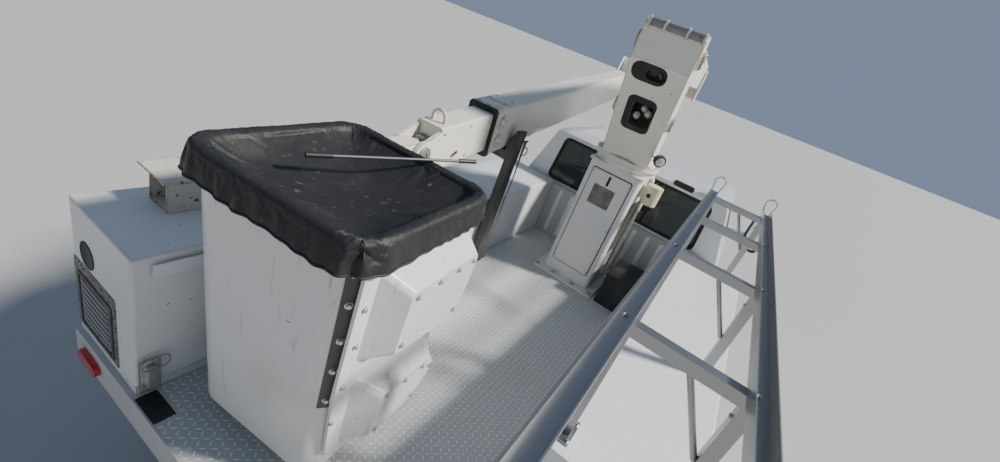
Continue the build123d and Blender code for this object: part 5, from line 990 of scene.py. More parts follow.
on_deck = (bar_x < shelf_front - 0.02) | ((bar_y > wall_right + 0.02) & (bar_y < wall_left - 0.02))
for node in ("box_tray", "pedestal", "battery_box"):
    on_deck &= clear_of(*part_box(node), 0.01)
rest_low, rest_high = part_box("boom_rest")
on_deck &= (bar_x < rest_low.x - 0.02) | (bar_x > rest_high.x + 0.02) | (bar_y < rest_low.y - 0.02)
bar_turn = np.where((row + column).ravel()[on_deck] % 2 == 0, radians(45), radians(-45))
bar_axes = np.zeros((len(bar_turn), 3, 3))
bar_axes[:, 0, 0], bar_axes[:, 0, 1] = np.cos(bar_turn), np.sin(bar_turn)
bar_axes[:, 1, 0], bar_axes[:, 1, 1] = -np.sin(bar_turn), np.cos(bar_turn)
bar_axes[:, 2, 2] = 1
bar_places = np.column_stack([bar_x[on_deck], bar_y[on_deck], np.full(len(bar_turn), DECK)])
bars = many((np.concatenate([bar_ring, bar_top]), bar_faces), bar_places, bar_axes)
# The bars are lighter than the plate between them: a painted highlight of the sun on their tops.
piece("deck_tread", bars, lit_tread_paint, "deck", crease=25)
print("tread bars", len(bar_places))
tally("deck tread")

# %% [markdown]
# ## Pedestal: access cover
# What makes a boom look like a working machine is its fastenings. The pedestal's rear has an access
# cover held by bolts, with a dark gap round it, a worn blank plate on rivets and a slot for a hand,
# whose opening is a black plate of painted shade.
# The cover could be cut into the pedestal, but a thin plate with a rubber line round it shows the same
# edge and shadow, and leaves the frame's steel whole.

# %% Access cover
PEDESTAL_REAR, PEDESTAL_SIDE = SLEW[0] - 0.209, -0.209
PANEL_L, PANEL_W, PANEL_T, PANEL_GAP = 0.836, 0.318, 0.009, 0.007
PLATE_Y, PLATE_Z = 0.012, DECK + 0.776
panel_x, panel_z = PEDESTAL_REAR - PANEL_T, DECK + 0.547
panel_at = [(PEDESTAL_REAR, 0, panel_z)]
panel = slab(rounded(PANEL_L, PANEL_W, 0.012), PANEL_T, 0.0015, low=-0.001)
piece("access_panel", many(panel, panel_at, TO_REAR), pedestal_paint, "pedestal")
gap_line = band(rounded(PANEL_L + 2 * PANEL_GAP, PANEL_W + 2 * PANEL_GAP, 0.018),
                rounded(PANEL_L - 0.004, PANEL_W - 0.004, 0.010), 0.0015, -0.002)
piece("panel_gap", many(gap_line, panel_at, TO_REAR), seal_rubber, "pedestal")
panel_bolts = [(panel_x, y, panel_z + z) for z in (-0.39, 0, 0.39) for y in (-0.146, 0.146)]
bolts("pedestal_bolts", 0.010, panel_bolts, (-1, 0, 0), "pedestal")
plate = slab(rounded(0.158, 0.176, 0.006), 0.002, 0.0006)
piece("blank_plate", many(plate, [(panel_x, PLATE_Y, PLATE_Z)], TO_REAR), plate_metal, "pedestal")
# The hand slot is a black plate: painted shade of the opening.
hand_slot_shade = slab(rounded(0.080, 0.020, 0.0095), 0.002, 0.0005)
piece("panel_slot", many(hand_slot_shade, [(panel_x, 0.007, DECK + 0.908)], TO_REAR), seal_rubber, "pedestal")
plate_rivets = [(panel_x - 0.001, PLATE_Y + y, PLATE_Z + z)
                for y in (-0.080, 0.080) for z in (-0.071, 0.071)]
bolts("plate_rivets", 0.005, plate_rivets, (-1, 0, 0), "pedestal")
tally("access cover")

# %% [markdown]
# ## Pedestal: drive, feet and pipes
# The slewing drive's drum has a plugged port, big bolts hold the pedestal's foot to the deck, and three
# rigid pipes run up its side in clips and turn in under the turret. A pipe is a tube along four
# corners whose bends are cut round, which is how a bent pipe looks, and a curve object would need
# turning into a mesh before it could be joined to the others.

# %% Drive, feet and pipes
drum_low, drum_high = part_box("slew_drive")
port = turned([(0.017, -0.003), (0.017, 0.003), (0.012, 0.004), (0.012, 0.001), (0.001, 0.001)])
port_at = [(drum_low.x, (drum_low.y + drum_high.y) / 2, (drum_low.z + drum_high.z) / 2)]
piece("drum_port", many(port, port_at, TO_REAR), black_plastic, "slew_drive")
foot_bolts = [(SLEW[0] + x, y, DECK + 0.020) for x in (-0.25, 0.25) for y in (-0.25, -0.09, 0.09, 0.25)]
bolts("pedestal_foot_bolts", 0.028, foot_bolts, UP, "pedestal", AHEAD)


def pipe(ahead_by, out, radius):
    """A pipe up the pedestal's right side, bent in under the turret."""
    x, y = SLEW[0] + ahead_by, PEDESTAL_SIDE - out
    run = [(x, y, DECK + 0.05), (x, y, DECK + 0.90), (x - 0.04, -0.235, DECK + 1.00),
           (x - 0.06, -0.190, DECK + 1.03)]
    return tube(smoothed(run), radius, 10)


pipes = joined(pipe(0.145, 0.020, 0.011), pipe(0.168, 0.022, 0.013), pipe(0.192, 0.020, 0.010))
piece("pedestal_pipes", pipes, pipe_paint, "pedestal")
clip_places = [(SLEW[0] + 0.166, PEDESTAL_SIDE - 0.034, DECK + z) for z in (0.18, 0.44, 0.70)]
clips = many(slab(rounded(0.100, 0.018, 0.005), 0.006, 0.001), clip_places, facing((0, -1, 0), AHEAD))
piece("pipe_clips", clips, zinc, "pedestal")
tally("drive, feet and pipes")

# %% [markdown]
# ## Turret: ring, pins and caps
# The turret is bolted down on its slewing ring and holds two pins, for the boom and for its cylinder.
# Each pin ends in a turned cap held by six small bolts. Caps on both sides come from one profile, and
# facing() gives each side its own axes, so nothing is mirrored and no face turns inside out.

# %% Turret's ring and pins
TURRET_FLOOR = DECK + 1.110
TURRET_HALF = 0.193
PIVOT = np.array([SLEW[0] - 0.600, 0, TURRET_FLOOR + 0.750])
CYLINDER_PIN = PIVOT + (0.220, 0, -0.395)


def circle(count, radius, start=0.0):
    """The cosine and sine parts of count points evenly round a circle."""
    turn = np.linspace(0, 2 * np.pi, count, endpoint=False) + start
    return radius * np.cos(turn), radius * np.sin(turn)


ring_x, ring_y = circle(16, 0.238, 0.1)
ring_places = SLEW + [0, 0, TURRET_FLOOR] + np.stack([ring_x, ring_y, 0 * ring_x], -1)
bolts("slewing_bolts", 0.019, stowed(ring_places), UP, "turret", AHEAD)
pin_cap = turned([(0.052, -0.002), (0.052, 0.006), (0.048, 0.010), (0.020, 0.010), (0.018, 0.004),
                  (0.001, 0.004)], 32)
hands = (-1, 1)
pin_places = [pin + (0, hand * TURRET_HALF, 0) for pin in (PIVOT, CYLINDER_PIN) for hand in hands]
pin_axes = np.stack([facing((0, hand, 0)) for hand in hands * 2])
piece("turret_pin_caps", parked(many(pin_cap, pin_places, pin_axes)), grey_steel, "turret")
cap_x, cap_z = circle(6, 0.040)
cap_ring = np.stack([cap_x, 0 * cap_x, cap_z], -1)
for hand, side in zip(hands, ("right", "left")):
    places = np.concatenate([cap_ring + spot for spot in pin_places if spot[1] * hand > 0])
    bolts("turret_cap_bolts_" + side, 0.010, stowed(places + (0, hand * 0.009, 0)),
          np.array([0, hand, 0]) @ STOW, "turret")
tally("turret's ring and pins")

# %% [markdown]
# ## Turret: its leaning rear skin
# Two holes in the skin are edged in black rubber, and hose fittings and a tube's end show through them
# before it gets dark. A black plate behind each hole is painted shade: it stops the light and stands for
# the dark, crowded inside of a real turret, and saves modelling what nobody can see. All of it is placed
# in the skin's own directions, up its slope and out from it.

# %% Turret's skin
lean = unit([-0.476, 0, 0.650])
rear_out = unit([-0.650, 0, -0.476])
skin_foot = np.array([SLEW[0] - 0.230, 0, TURRET_FLOOR])
skin_axes = facing(rear_out, lean)


def on_skin(aside, up_by, out=0.0):
    """A point of the turret's leaning rear plate: aside from its middle and up it from the floor."""
    return skin_foot + up_by * lean + np.array([0, aside, 0]) + out * rear_out


LOW_HOLE, HIGH_HOLE = 0.410, 0.160          # how far under the pivot the holes lie
low_up, high_up = (PIVOT[2] - TURRET_FLOOR - np.array([LOW_HOLE, HIGH_HOLE])) / lean[2]
fitting_places = [(SLEW[0] - 0.43, aside, PIVOT[2] - LOW_HOLE + up_by)
                  for aside, up_by in ((-0.035, 0.02), (0.030, -0.01), (0.0, 0.045))]
fitting = turned([(0.018, -0.05), (0.018, 0.0), (0.024, 0.0), (0.024, 0.016), (0.016, 0.018), (0.016, 0.036),
                  (0.011, 0.038), (0.011, 0.060)], 6)
fittings = many(fitting, fitting_places, facing((-1, 0, 0.3)))
piece("turret_hose_fittings", parked(fittings), zinc, "turret", crease=20)
low_edging = band(rounded(0.280, 0.192, 0.045) + (0, 0.016), rounded(0.184, 0.138, 0.030), 0.0016, -0.004)
high_edging = band(rounded(0.128, 0.218, 0.055) + (0, 0.041), rounded(0.072, 0.118, 0.033), 0.0016, -0.004)
edgings = joined(many(low_edging, [on_skin(0, low_up)], skin_axes),
                 many(high_edging, [on_skin(0, high_up)], skin_axes))
piece("turret_hole_edging", parked(edgings), seal_rubber, "turret")
# The plates are black as painted shade: they stand for the dark inside behind the holes.
low_shade_plate, high_shade_plate = (slab(rounded(height, 0.240, 0.020), 0.003) for height in (0.330, 0.110))
painted_shade_plates = joined(many(low_shade_plate, [on_skin(0.035, low_up - 0.100, -0.120)], skin_axes),
                 many(high_shade_plate, [on_skin(0, high_up, -0.024)], skin_axes))
piece("turret_shields", parked(painted_shade_plates), black_plastic, "turret")
tube_stub = turned([(0.022, 0.0), (0.022, 0.016), (0.018, 0.018), (0.018, 0.004), (0.001, 0.004)])
stub_axes = facing(unit(rear_out + (0, 0.5, 0)), lean)
tube_end = many(tube_stub, [on_skin(-0.022, high_up, -0.022)], stub_axes)
piece("turret_tube_end", parked(tube_end), iron, "turret")
tally("turret's skin")

# %% [markdown]
# ## Turret: work lamp and ears
# A small lamp on a bracket lights the work at night, and four ears along the skin's top edge carry a
# short tube across it. The lamp is two turned profiles, a black body and a glass face, because one
# mesh with two finishes would lose the line between them.

# %% Work lamp and ears
EAR_BACK, EAR_T, EAR_TUBE_R = 0.107, 0.015, 0.024
LAMP_UP = 0.155
lamp_axes = facing((-0.8, -0.5, -0.2))
lamp_body = turned([(0.012, -0.040), (0.030, -0.038), (0.040, -0.020), (0.042, 0.0), (0.042, 0.012),
                    (0.037, 0.014)], 28)
lamp_face = turned([(0.037, 0.010), (0.030, 0.015), (0.015, 0.018), (0.001, 0.019)], 28)
for name, shape, finish in (("work_lamp", lamp_body, black_plastic),
                            ("work_lamp_lens", lamp_face, lamp_glass)):
    piece(name, parked(many(shape, [on_skin(-0.235, LAMP_UP, 0.03)], lamp_axes)), finish, "turret")
lamp_arm = many(slab(rounded(0.075, 0.024, 0.006), 0.004, 0.001), [on_skin(-0.205, LAMP_UP, 0.016)],
                facing(UP, (0, 1, 0)))
piece("lamp_bracket", parked(lamp_arm), black_plastic, "turret")
ear_outline = np.array([(0.024, 0.0), (0.027, 0.040), (0.019, 0.059), (0.0, 0.066), (-0.019, 0.059),
                        (-0.027, 0.040), (-0.024, 0.0)])
ear_places = [PIVOT + (-EAR_BACK, aside, 0.060) for aside in (-0.155, -0.060, 0.070, 0.163)]
ear_axes = np.array([[1, 0, 0], [0, 0, 1], [0, -1, 0]])
ears = many(slab(ear_outline, EAR_T, 0.0015), ear_places, ear_axes)
piece("turret_ears", parked(ears), boom_paint, "turret")
ear_line = np.array([PIVOT + (-EAR_BACK, y, 0.098) for y in np.linspace(-0.162, 0.162, 5)])
piece("turret_ear_tube", parked(tube(ear_line, EAR_TUBE_R, 20)), grey_steel, "turret")
tally("lamp and ears")

# %% [markdown]
# ## Along the upper boom
# The upper boom climbs six degrees from its mouth to its elbow. Writing each bolt's place in the
# truck's axes would make it a sum of sines, so places are given along the boom, to its left and
# square to it, and one function turns them into metres.

# %% The upper boom's own axes
BOOM_PITCH = radians(6)
BOOM_SIDE, BOOM_W, BOOM_H = 0.830, 0.200, 0.310
MOUTH_Z = DECK + 1.205
ROOT_AHEAD, MOUTH_BACK = 2.880, 0.980        # from the slewing axis to the elbow, and to the mouth
boom_dir = np.array([cos(BOOM_PITCH), 0, sin(BOOM_PITCH)])
boom_up = np.array([-sin(BOOM_PITCH), 0, cos(BOOM_PITCH)])
half_depth = BOOM_H / 2 / cos(BOOM_PITCH)
root_z = MOUTH_Z - half_depth + (ROOT_AHEAD + MOUTH_BACK) * np.tan(BOOM_PITCH)
root = np.array([SLEW[0] + ROOT_AHEAD, BOOM_SIDE, root_z])
mouth = root - boom_dir * (ROOT_AHEAD + MOUTH_BACK) / cos(BOOM_PITCH)
tip = mouth - boom_dir * 0.560


def on_boom(start, ahead_by, aside, up_by):
    """A point of the boom's own frame: along it, to its left, and square to it."""
    ahead_by, aside, up_by = np.broadcast_arrays(*np.atleast_1d(ahead_by, aside, up_by))
    return start + ahead_by[:, None] * boom_dir + aside[:, None] * [0, 1, 0] + up_by[:, None] * boom_up


mouth_axes = np.array([[0, -1, 0], boom_up, -boom_dir])
side_axes = np.stack([facing((0, hand, 0)) for hand in hands])
print("boom's mouth at", mouth.round(3), "tip at", tip.round(3))

# %% [markdown]
# ## The outer boom's mouth
# A rubber wiper fills the mouth round the inner boom, small bolts hold the slide pads inside it, and
# a bolted flap lies on top. The wiper could be a rounded box with a hole cut in it; a frame between
# two rounded outlines has the same shape without the cut's ragged faces.

# %% Wiper and mouth bolts
wiper = band(rounded(BOOM_W + 0.010, BOOM_H + 0.010, 0.022), rounded(0.163, 0.253, 0.016), 0.010, -0.012)
piece("mouth_wiper", parked(many(wiper, [mouth], mouth_axes)), seal_rubber, "outer_boom")
pad_x, pad_z = circle(4, 0.030, 0.4)
for hand, side in zip(hands, ("right", "left")):
    places = on_boom(mouth, np.tile(0.110 + pad_x, 2), hand * (BOOM_W / 2 + 0.009),
                     np.concatenate([pad_z + 0.060, pad_z - 0.060]))
    bolts("pad_bolts_" + side, 0.009, stowed(places), np.array([0, hand, 0]) @ STOW, "outer_boom")
flap_places = on_boom(mouth, np.array([0.03, 0.12, 0.17, 0.26] * 2), np.repeat((-0.062, 0.062), 4),
                      BOOM_H / 2 + 0.0095)
bolts("flap_bolts", 0.011, stowed(flap_places), boom_up @ STOW, "outer_boom", AHEAD)
tally("boom's mouth")

# %% [markdown]
# ## The inner boom's tip, and the elbow
# The tip carries the bucket's pin, the bolts of its cheek plates, and a small valve block with four
# hose stubs in yellow chromate. Hoses aren't drawn where none can be made out. The pins' caps are
# the turret's caps again, turned to each side.

# %% Tip and elbow fittings
tip_places = on_boom(tip, np.array([0.03, 0.03, 0.30, 0.30]), -0.0795, np.array([0.09, -0.09, 0.09, -0.09]))
bolts("tip_bolts", 0.011, stowed(tip_places), np.array([0, -1, 0]) @ STOW, "inner_boom")
tip_pin = many(pin_cap, [tip - boom_dir * 0.130 + (0, hand * 0.081, 0) for hand in hands], side_axes)
piece("tip_pin_caps", parked(tip_pin), grey_steel, "inner_boom")
valve = many(slab(rounded(0.090, 0.110, 0.010), 0.050, 0.006), [tip - boom_dir * 0.002], mouth_axes)
piece("tip_valve", parked(valve), grey_steel, "inner_boom")
stub = turned([(0.011, 0.0), (0.011, 0.012), (0.015, 0.012), (0.015, 0.026), (0.009, 0.028),
               (0.009, 0.046)], 6)
stub_places = tip - boom_dir * 0.050 + np.array([(0, a, u) for a in (-0.025, 0.025) for u in (-0.03, 0.03)])
piece("tip_stubs", parked(many(stub, stub_places, mouth_axes)), brass, "inner_boom", crease=20)
elbow_caps = many(pin_cap, [root + (0, hand * 0.124, 0) for hand in hands], side_axes)
piece("elbow_pin_caps", parked(elbow_caps), grey_steel, "elbow_bracket")
tally("tip and elbow")

# %% [markdown]
# ## Rest pad
# The boom is let down on a rubber pad in its cradle. The gap under the boom is a few millimetres and
# slopes with it, so the pad's top is worked out from the boom's underside at the cradle, and the pad
# hangs down from there. A guessed height would show light on one side or cut the boom on the other.

# %% Rest pad
PAD_T = 0.0076
rest_ahead = (rest_low.x + rest_high.x) / 2 - SLEW[0]
along_straight = (rest_ahead + BOOM_SIDE * sin(STOW_YAW)) / cos(STOW_YAW)
pad_top = root_z - half_depth - (ROOT_AHEAD - along_straight) * np.tan(BOOM_PITCH) - 0.0004
pad_shape = slab(rounded(0.088, 0.190, 0.006), 0.0, 0.0015, low=-PAD_T)
pad = many(pad_shape, [(SLEW[0] + along_straight, BOOM_SIDE, pad_top)],
           np.stack([boom_dir, [0, 1, 0], boom_up]))
piece("rest_pad", parked(pad), seal_rubber, "boom_rest")
tally("rest pad")

# %% [markdown]
# ## Ratchet strap
# The webbing of a ratchet strap hangs from the cradle's rod to the deck. Webbing is a flat, limp cord:
# it keeps its length, sways a little off the plumb line, and twists slowly as it hangs. A simulated
# ribbon would hang dead straight here, since nothing disturbs it, so the sway and the twist are sines
# along its length. Its section is a flat superellipse, a rectangle with rounded edges.

# %% Webbing and hook
STRAP_W, STRAP_T = 0.050, 0.0024
WEB_RINGS, WEB_AROUND = 120, 16
strap_low, strap_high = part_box("tie_strap")
strap_mid = ((strap_low.x + strap_high.x) / 2, (strap_low.y + strap_high.y) / 2)
drop_share = np.linspace(0, 1, WEB_RINGS)
sway = 0.010 * np.sin(np.pi * drop_share) ** 2 * np.sin(2.2 * np.pi * drop_share)
strap_line = np.column_stack([strap_mid[0] + 0.4 * sway, strap_mid[1] - np.abs(sway),
                            strap_high.z - drop_share * (strap_high.z - strap_low.z)])
twist = radians(16) * np.sin(1.5 * np.pi * drop_share)[:, None]
web_cos, web_sin = circle(WEB_AROUND, 1)
broad = STRAP_W / 2 * np.sign(web_cos) * np.abs(web_cos) ** 0.25
thin = STRAP_T / 2 * web_sin
web_x = broad * np.cos(twist) - thin * np.sin(twist)
web_y = broad * np.sin(twist) + thin * np.cos(twist)
web_points = strap_line[:, None] + np.stack([web_x, web_y, 0 * web_x], -1)
web_walls = (quads(WEB_RINGS, WEB_AROUND, True), *end_faces(WEB_RINGS, WEB_AROUND))
web_faces = [group[:, ::-1] for group in web_walls]
strap = piece("ratchet_webbing", (web_points, web_faces), webbing, "tie_strap", crease=60)
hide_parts("tie_strap")
hook_path = smoothed([(0, 0, 0.016), (0, -0.020, 0.020), (0, -0.026, 0.0), (0, -0.020, -0.030),
                      (0, 0.0, -0.046), (0, 0.016, -0.034)])
hook_at = [(strap_mid[0], strap_mid[1] - 0.010, strap_high.z - 0.05)]
piece("strap_hook", many(tube(hook_path, 0.005, 10), hook_at, LEVEL), brass, "boom_rest")
tally("ratchet strap")

# %% [markdown]
# ## Equipment box: louvres and vents
# The box is a welded steel cover over a power unit. Its rear has a perforated sheet, a grille of eight
# hooded louvres in a dark frame and a round vent, whose opening is a flat near-black disc of painted
# shade. A louvre is pressed out of its sheet: it keeps the sheet's edge at both ends and stands out
# between them, so its hooded profile is carried across and fades to nothing at the ends.

# %% Louvres and vents
cover_low, cover_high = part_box("box_cover")
GRILLE_Y, GRILLE_Z = cover_high.y - 0.181, DECK + 0.190
LOUVRES, LOUVRE_PITCH, LOUVRE_HALF = 8, 0.028, 0.123
LOUVRE_STEPS = 21
SHEET, SHEET_EDGE = 0.345, 0.012
grille_frame = band(rounded(0.268, 0.286, 0.008), rounded(0.240, 0.256, 0.006), 0.005, -0.003)
grille_at = [(cover_low.x, GRILLE_Y, GRILLE_Z)]
piece("louvre_frame", many(grille_frame, grille_at, TO_REAR), black_plastic, "box_cover")
hood_profile = [(0.0, 0.007), (0.007, 0.004), (0.009, -0.001), (0.008, -0.002), (0.0, 0.005)]
hood_out, hood_up = np.array(hood_profile).T
louvre_side = np.linspace(-LOUVRE_HALF, LOUVRE_HALF, LOUVRE_STEPS)[:, None]
fade = np.sqrt(np.clip(1 - (louvre_side / (LOUVRE_HALF + 0.001)) ** 6, 0.02, 1))
louvre = np.stack([louvre_side + 0 * hood_up, hood_up * fade, hood_out * fade], -1)
louvre_shape = (louvre.reshape(-1, 3), [quads(LOUVRE_STEPS, len(hood_up), True)])
louvre_rise = LOUVRE_PITCH * (np.arange(LOUVRES) - (LOUVRES - 1) / 2)
louvre_places = np.array(grille_at) + louvre_rise[:, None] * [0, 0, 1]
piece("louvres", many(louvre_shape, louvre_places, CURTAIN), latch_steel, "box_cover")
# The vent's disc is near-black as painted shade of the open hole behind its rim.
vent_shade_disc = turned([(0.058, -0.002), (0.058, 0.002), (0.054, 0.0035), (0.050, 0.001), (0.001, 0.001)], 40)
vent_at = [(cover_low.x, cover_high.y - 0.140, DECK + 0.445)]
piece("vent_mesh", many(vent_shade_disc, vent_at, TO_REAR), seal_rubber, "box_cover")
mesh_sheet = slab(rounded(SHEET, SHEET, 0.010), 0.002, 0.0006)
sheet_at = [(cover_low.x, cover_high.y - SHEET_EDGE - SHEET / 2, DECK + 0.206)]
piece("perforated_sheet", many(mesh_sheet, sheet_at, TO_REAR), perforated, "box_cover")
tally("louvres and vents")

# %% [markdown]
# ## Equipment box: latch, plate and patch
# An over-centre latch pulls the cover down: a plate with a raised lip, an arm, and a bail of bent wire.
# The wire could be a curve with a bevel, but a circle carried along the same path keeps its ends shut
# and its place in the mesh. A blank plate, a black patch of anti slip tape and the bolts of the lid's
# bracket are laid on as thin plates and bolt heads.

# %% Latch, plate and patch
latch_x = REAR + 0.060
label = slab(rounded(0.055, 0.190, 0.002), 0.0008, 0.0002)
label_at = [(cover_low.x + 0.150, cover_low.y, cover_high.z - 0.055)]
piece("blank_label", many(label, label_at, TO_RIGHT), cab_paint, "box_cover")
bail_path = smoothed([(0, 0.004, 0.064), (-0.046, 0.009, 0.062), (-0.046, 0.010, 0.004),
                      (0.046, 0.010, 0.004), (0.046, 0.009, 0.062), (0, 0.004, 0.064)])
bail = many(tube(bail_path, 0.0030, 8), [(latch_x + 0.018, cover_low.y, DECK + 0.125)],
            np.array([[-1, 0, 0], [0, -1, 0], [0, 0, 1]]))
piece("latch_bail", bail, latch_steel, "box_cover")
latch_lip = many(band(rounded(0.160, 0.072, 0.005), rounded(0.150, 0.060, 0.004), 0.0025, -0.002),
                 [(latch_x, cover_low.y, DECK + 0.100)], TO_RIGHT)
latch_arm = many(slab(rounded(0.120, 0.026, 0.006), 0.010, 0.002),
                 [(latch_x + 0.006, cover_low.y, DECK + 0.090)], TO_RIGHT)
piece("latch_plate", joined(latch_lip, latch_arm), latch_steel, "box_cover")
patch = slab(rounded(0.075, 0.150, 0.004), 0.0022, 0.0006)
piece("anti_slip_patch", many(patch, [(REAR + 0.045, 0.615, DECK)], LEVEL), seal_rubber, "deck")
bracket_bolts = [(REAR + x, y, DECK + 0.638) for x in (0.26, 0.44) for y in (0.965, 1.058)]
bolts("bracket_bolts", 0.012, bracket_bolts, UP, "lid_bracket", AHEAD)
tally("latch, plate and patch")

# %% [markdown]
# ## Ladder rack
# Two aluminium rails run along the curb side on square tube posts. Each foot is bolted to the body,
# each crossing of rail and beam has a bolt, and bent wire keepers stand at the far ends. The places
# come from the beams' and posts' stations, so a bolt always lands on its crossing.

# %% Rack fastenings
RACK_Z = DECK + 1.042
RAIL_TOP = RACK_Z + 0.004
RAIL_YS, POST_YS = (-0.66, -1.07), (-0.68, -1.07)
rack_beams = REAR + np.array([0.760, 1.650, 2.470, 3.310])
rack_posts = REAR + np.array([0.760, 1.650, 3.310])
body_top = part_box("side_body_right")[1].z
rail_bolts = [(x, y, RAIL_TOP) for x in rack_beams for y in RAIL_YS]
bolts("rack_rail_bolts", 0.013, rail_bolts, UP, "ladder_rack", AHEAD)
foot_spots = [(x + dx, y + dy, body_top + 0.008) for x in rack_posts for y in POST_YS
              for dx in (-0.048, 0.048) for dy in (-0.026, 0.026)]
bolts("rack_foot_bolts", 0.012, foot_spots, UP, "ladder_rack", AHEAD)
post_spots = [(x, y + 0.022, RACK_Z - 0.094) for x in rack_posts for y in POST_YS]
bolts("rack_post_bolts", 0.012, post_spots, (0, 1, 0), "ladder_rack")
KEEPER_R, KEEPER_UP = 0.042, 0.085
keeper_turn = np.linspace(-0.15 * np.pi, 1.15 * np.pi, 15)
keeper_loop = np.column_stack([0 * keeper_turn, KEEPER_R * np.cos(keeper_turn),
                               KEEPER_UP + KEEPER_R * np.sin(keeper_turn)])
keeper_path = np.concatenate([[(0, 0.027, 0.0)], keeper_loop, [(0, -0.027, 0.0)]])
keeper_spots = [(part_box("ladder_rack")[1].x - 0.015, y, RAIL_TOP) for y in RAIL_YS]
piece("rack_keepers", many(tube(keeper_path, 0.005, 10), keeper_spots, LEVEL), zinc, "ladder_rack")
brace_lines = [np.linspace((x, -1.045, RACK_Z - 0.30), (x, -0.90, RACK_Z - 0.05), 4) for x in rack_posts]
piece("rack_braces", joined(*[tube(run, 0.011, 10) for run in brace_lines]), shaded_aluminium, "ladder_rack")
tally("rack")

# %% [markdown]
# ## Wheels: tread blocks
# A truck tyre is a torus with a flat tread. The frame's tyre is the smooth carcass; the tread is made
# here as blocks: each is a low drafted brick set to the tyre's radius, in five rows with grooves
# between them. Bending a flat strip of tread round with a modifier would do it too, but here each
# block's place and its three axes are one formula, and nothing is left live.

# %% Tread blocks
TYRE_R, TREAD_W = 0.405, 0.190
BLOCKS_ROUND, BLOCK_ROWS, BLOCK_H, BLOCK_ROOT = 56, 5, 0.006, 0.004
BLOCK_L, GROOVE = 0.040, 0.006


def tread_block(length, width):
    """A brick with drafted sides: its foot, and a smaller top."""
    foot = np.array([(-1, -1), (1, -1), (1, 1), (-1, 1)]) * (length / 2, width / 2)
    rings = ((foot, -BLOCK_ROOT), (foot * (0.86, 0.88), BLOCK_H))
    points = np.concatenate([np.column_stack([ring, np.full(4, z)]) for ring, z in rings])
    return points, [quads(2, 4, True), end_faces(2, 4)[0]]


def tread(middle, side_y):
    """Blocks round a tyre: x = r sin a, z = r cos a, with every other row half a block on."""
    row, turn = np.meshgrid(np.arange(BLOCK_ROWS), np.arange(BLOCKS_ROUND), indexing="ij")
    row, turn = row.ravel(), turn.ravel()
    angle = 2 * np.pi * (turn + 0.5 * (row % 2)) / BLOCKS_ROUND
    across = (row - (BLOCK_ROWS - 1) / 2) * TREAD_W / BLOCK_ROWS
    radius = TYRE_R - 0.0062 - 0.004 * (np.abs(across) / (TREAD_W / 2)) ** 2
    sine, cosine, zero = np.sin(angle), np.cos(angle), 0 * angle
    origins = np.stack([middle[0] + radius * sine, side_y + across, middle[2] + radius * cosine], -1)
    axes = np.stack([np.stack([cosine, zero, -sine], -1), np.stack([zero, zero + 1, zero], -1),
                     np.stack([sine, zero, cosine], -1)], 1)
    return many(tread_block(BLOCK_L, TREAD_W / BLOCK_ROWS - GROOVE), origins, axes)


print("blocks on a tyre", BLOCKS_ROUND * BLOCK_ROWS)

# %% [markdown]
# ## Wheels: nuts and side rings
# Each wheel gets its tread, eight nuts in a circle on its disc and a raised ring on the outer side wall.
# The twin rear wheels are one body with two tyres, so they get two treads and one set of nuts. The loop
# reads each wheel's box, and the right wheels are the same shapes with their axes facing right.

# %% Wheels
NUTS, NUT_CIRCLE, WALL_OUT = 8, 0.1125, 0.1085
TWIN_YS, FRONT_DISC_Y = (0.770, 1.050), 1.038
nut = turned([(0.019, 0.0), (0.019, 0.004), (0.0165, 0.004), (0.0165, 0.020), (0.013, 0.023)], 6)
ring_points, ring_faces = turned([(0.314, 0.0), (0.310, 0.0025), (0.304, 0.0025), (0.300, 0.0)], 72)
side_ring = (ring_points, ring_faces[:1])
nut_x, nut_z = circle(NUTS, NUT_CIRCLE, np.pi / NUTS)
for node in WHEELS:
    low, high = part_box(node)
    hand = 1 if low.y > 0 else -1
    front = "front" in node
    middle = ((low.x + high.x) / 2, 0, (low.z + high.z) / 2)
    outer_y = high.y if hand > 0 else low.y
    tyre_ys = [outer_y - hand * 0.1125] if front else [hand * y for y in TWIN_YS]
    piece(node + "_tread", joined(*[tread(middle, y) for y in tyre_ys]), tyre_rubber, node, crease=25)
    disc_y = hand * (FRONT_DISC_Y if front else sum(TWIN_YS) / 2) + hand * 0.002
    nut_places = np.stack([middle[0] + nut_x, np.full(NUTS, disc_y), middle[2] + nut_z], -1)
    side = facing((0, hand, 0))
    piece(node + "_nuts", many(nut, nut_places, side), chrome, node, crease=20)
    wall_at = [(middle[0], tyre_ys[-1] + hand * WALL_OUT, middle[2])]
    piece(node + "_side_rings", many(side_ring, wall_at, side), tyre_rubber, node)
tally("wheels")

# %% [markdown]
# ## Cab: rear window and roof lamps
# A rubber seal follows the rear pane and two bars divide it. A seal is a tube along the pane's outline
# with rounded corners, each corner a parabola between its two sides. The third brake lamp and a dark
# cargo lamp sit at the roof's edge. They are small, but without them a cab looks like a block of soap.

# %% Rear window and roof lamps
REAR_PANE = np.array([(0.740, 1.530), (0.710, 1.930), (-0.710, 1.930), (-0.740, 1.530)])
PANE_CUT, SEAL_R, WINDOW_BAR_R = 0.05, 0.013, 0.011
PANE_FOOT, REAR_LEAN = 1.500, 0.035 / 0.475
shell_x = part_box("cab_shell")[0].x


def seal_path(corners, cut):
    """A closed loop round a pane: a parabola cuts each corner, cut metres before and after it."""
    start = corners + cut * unit(np.roll(corners, 1, axis=0) - corners)
    end = corners + cut * unit(np.roll(corners, -1, axis=0) - corners)
    bend = np.linspace(0, 1, 7)[None, :, None]
    arcs = ((1 - bend) ** 2 * start[:, None] + 2 * bend * (1 - bend) * corners[:, None]
            + bend ** 2 * end[:, None])
    loop = arcs.reshape(-1, corners.shape[1])
    return np.concatenate([loop, loop[:1]])


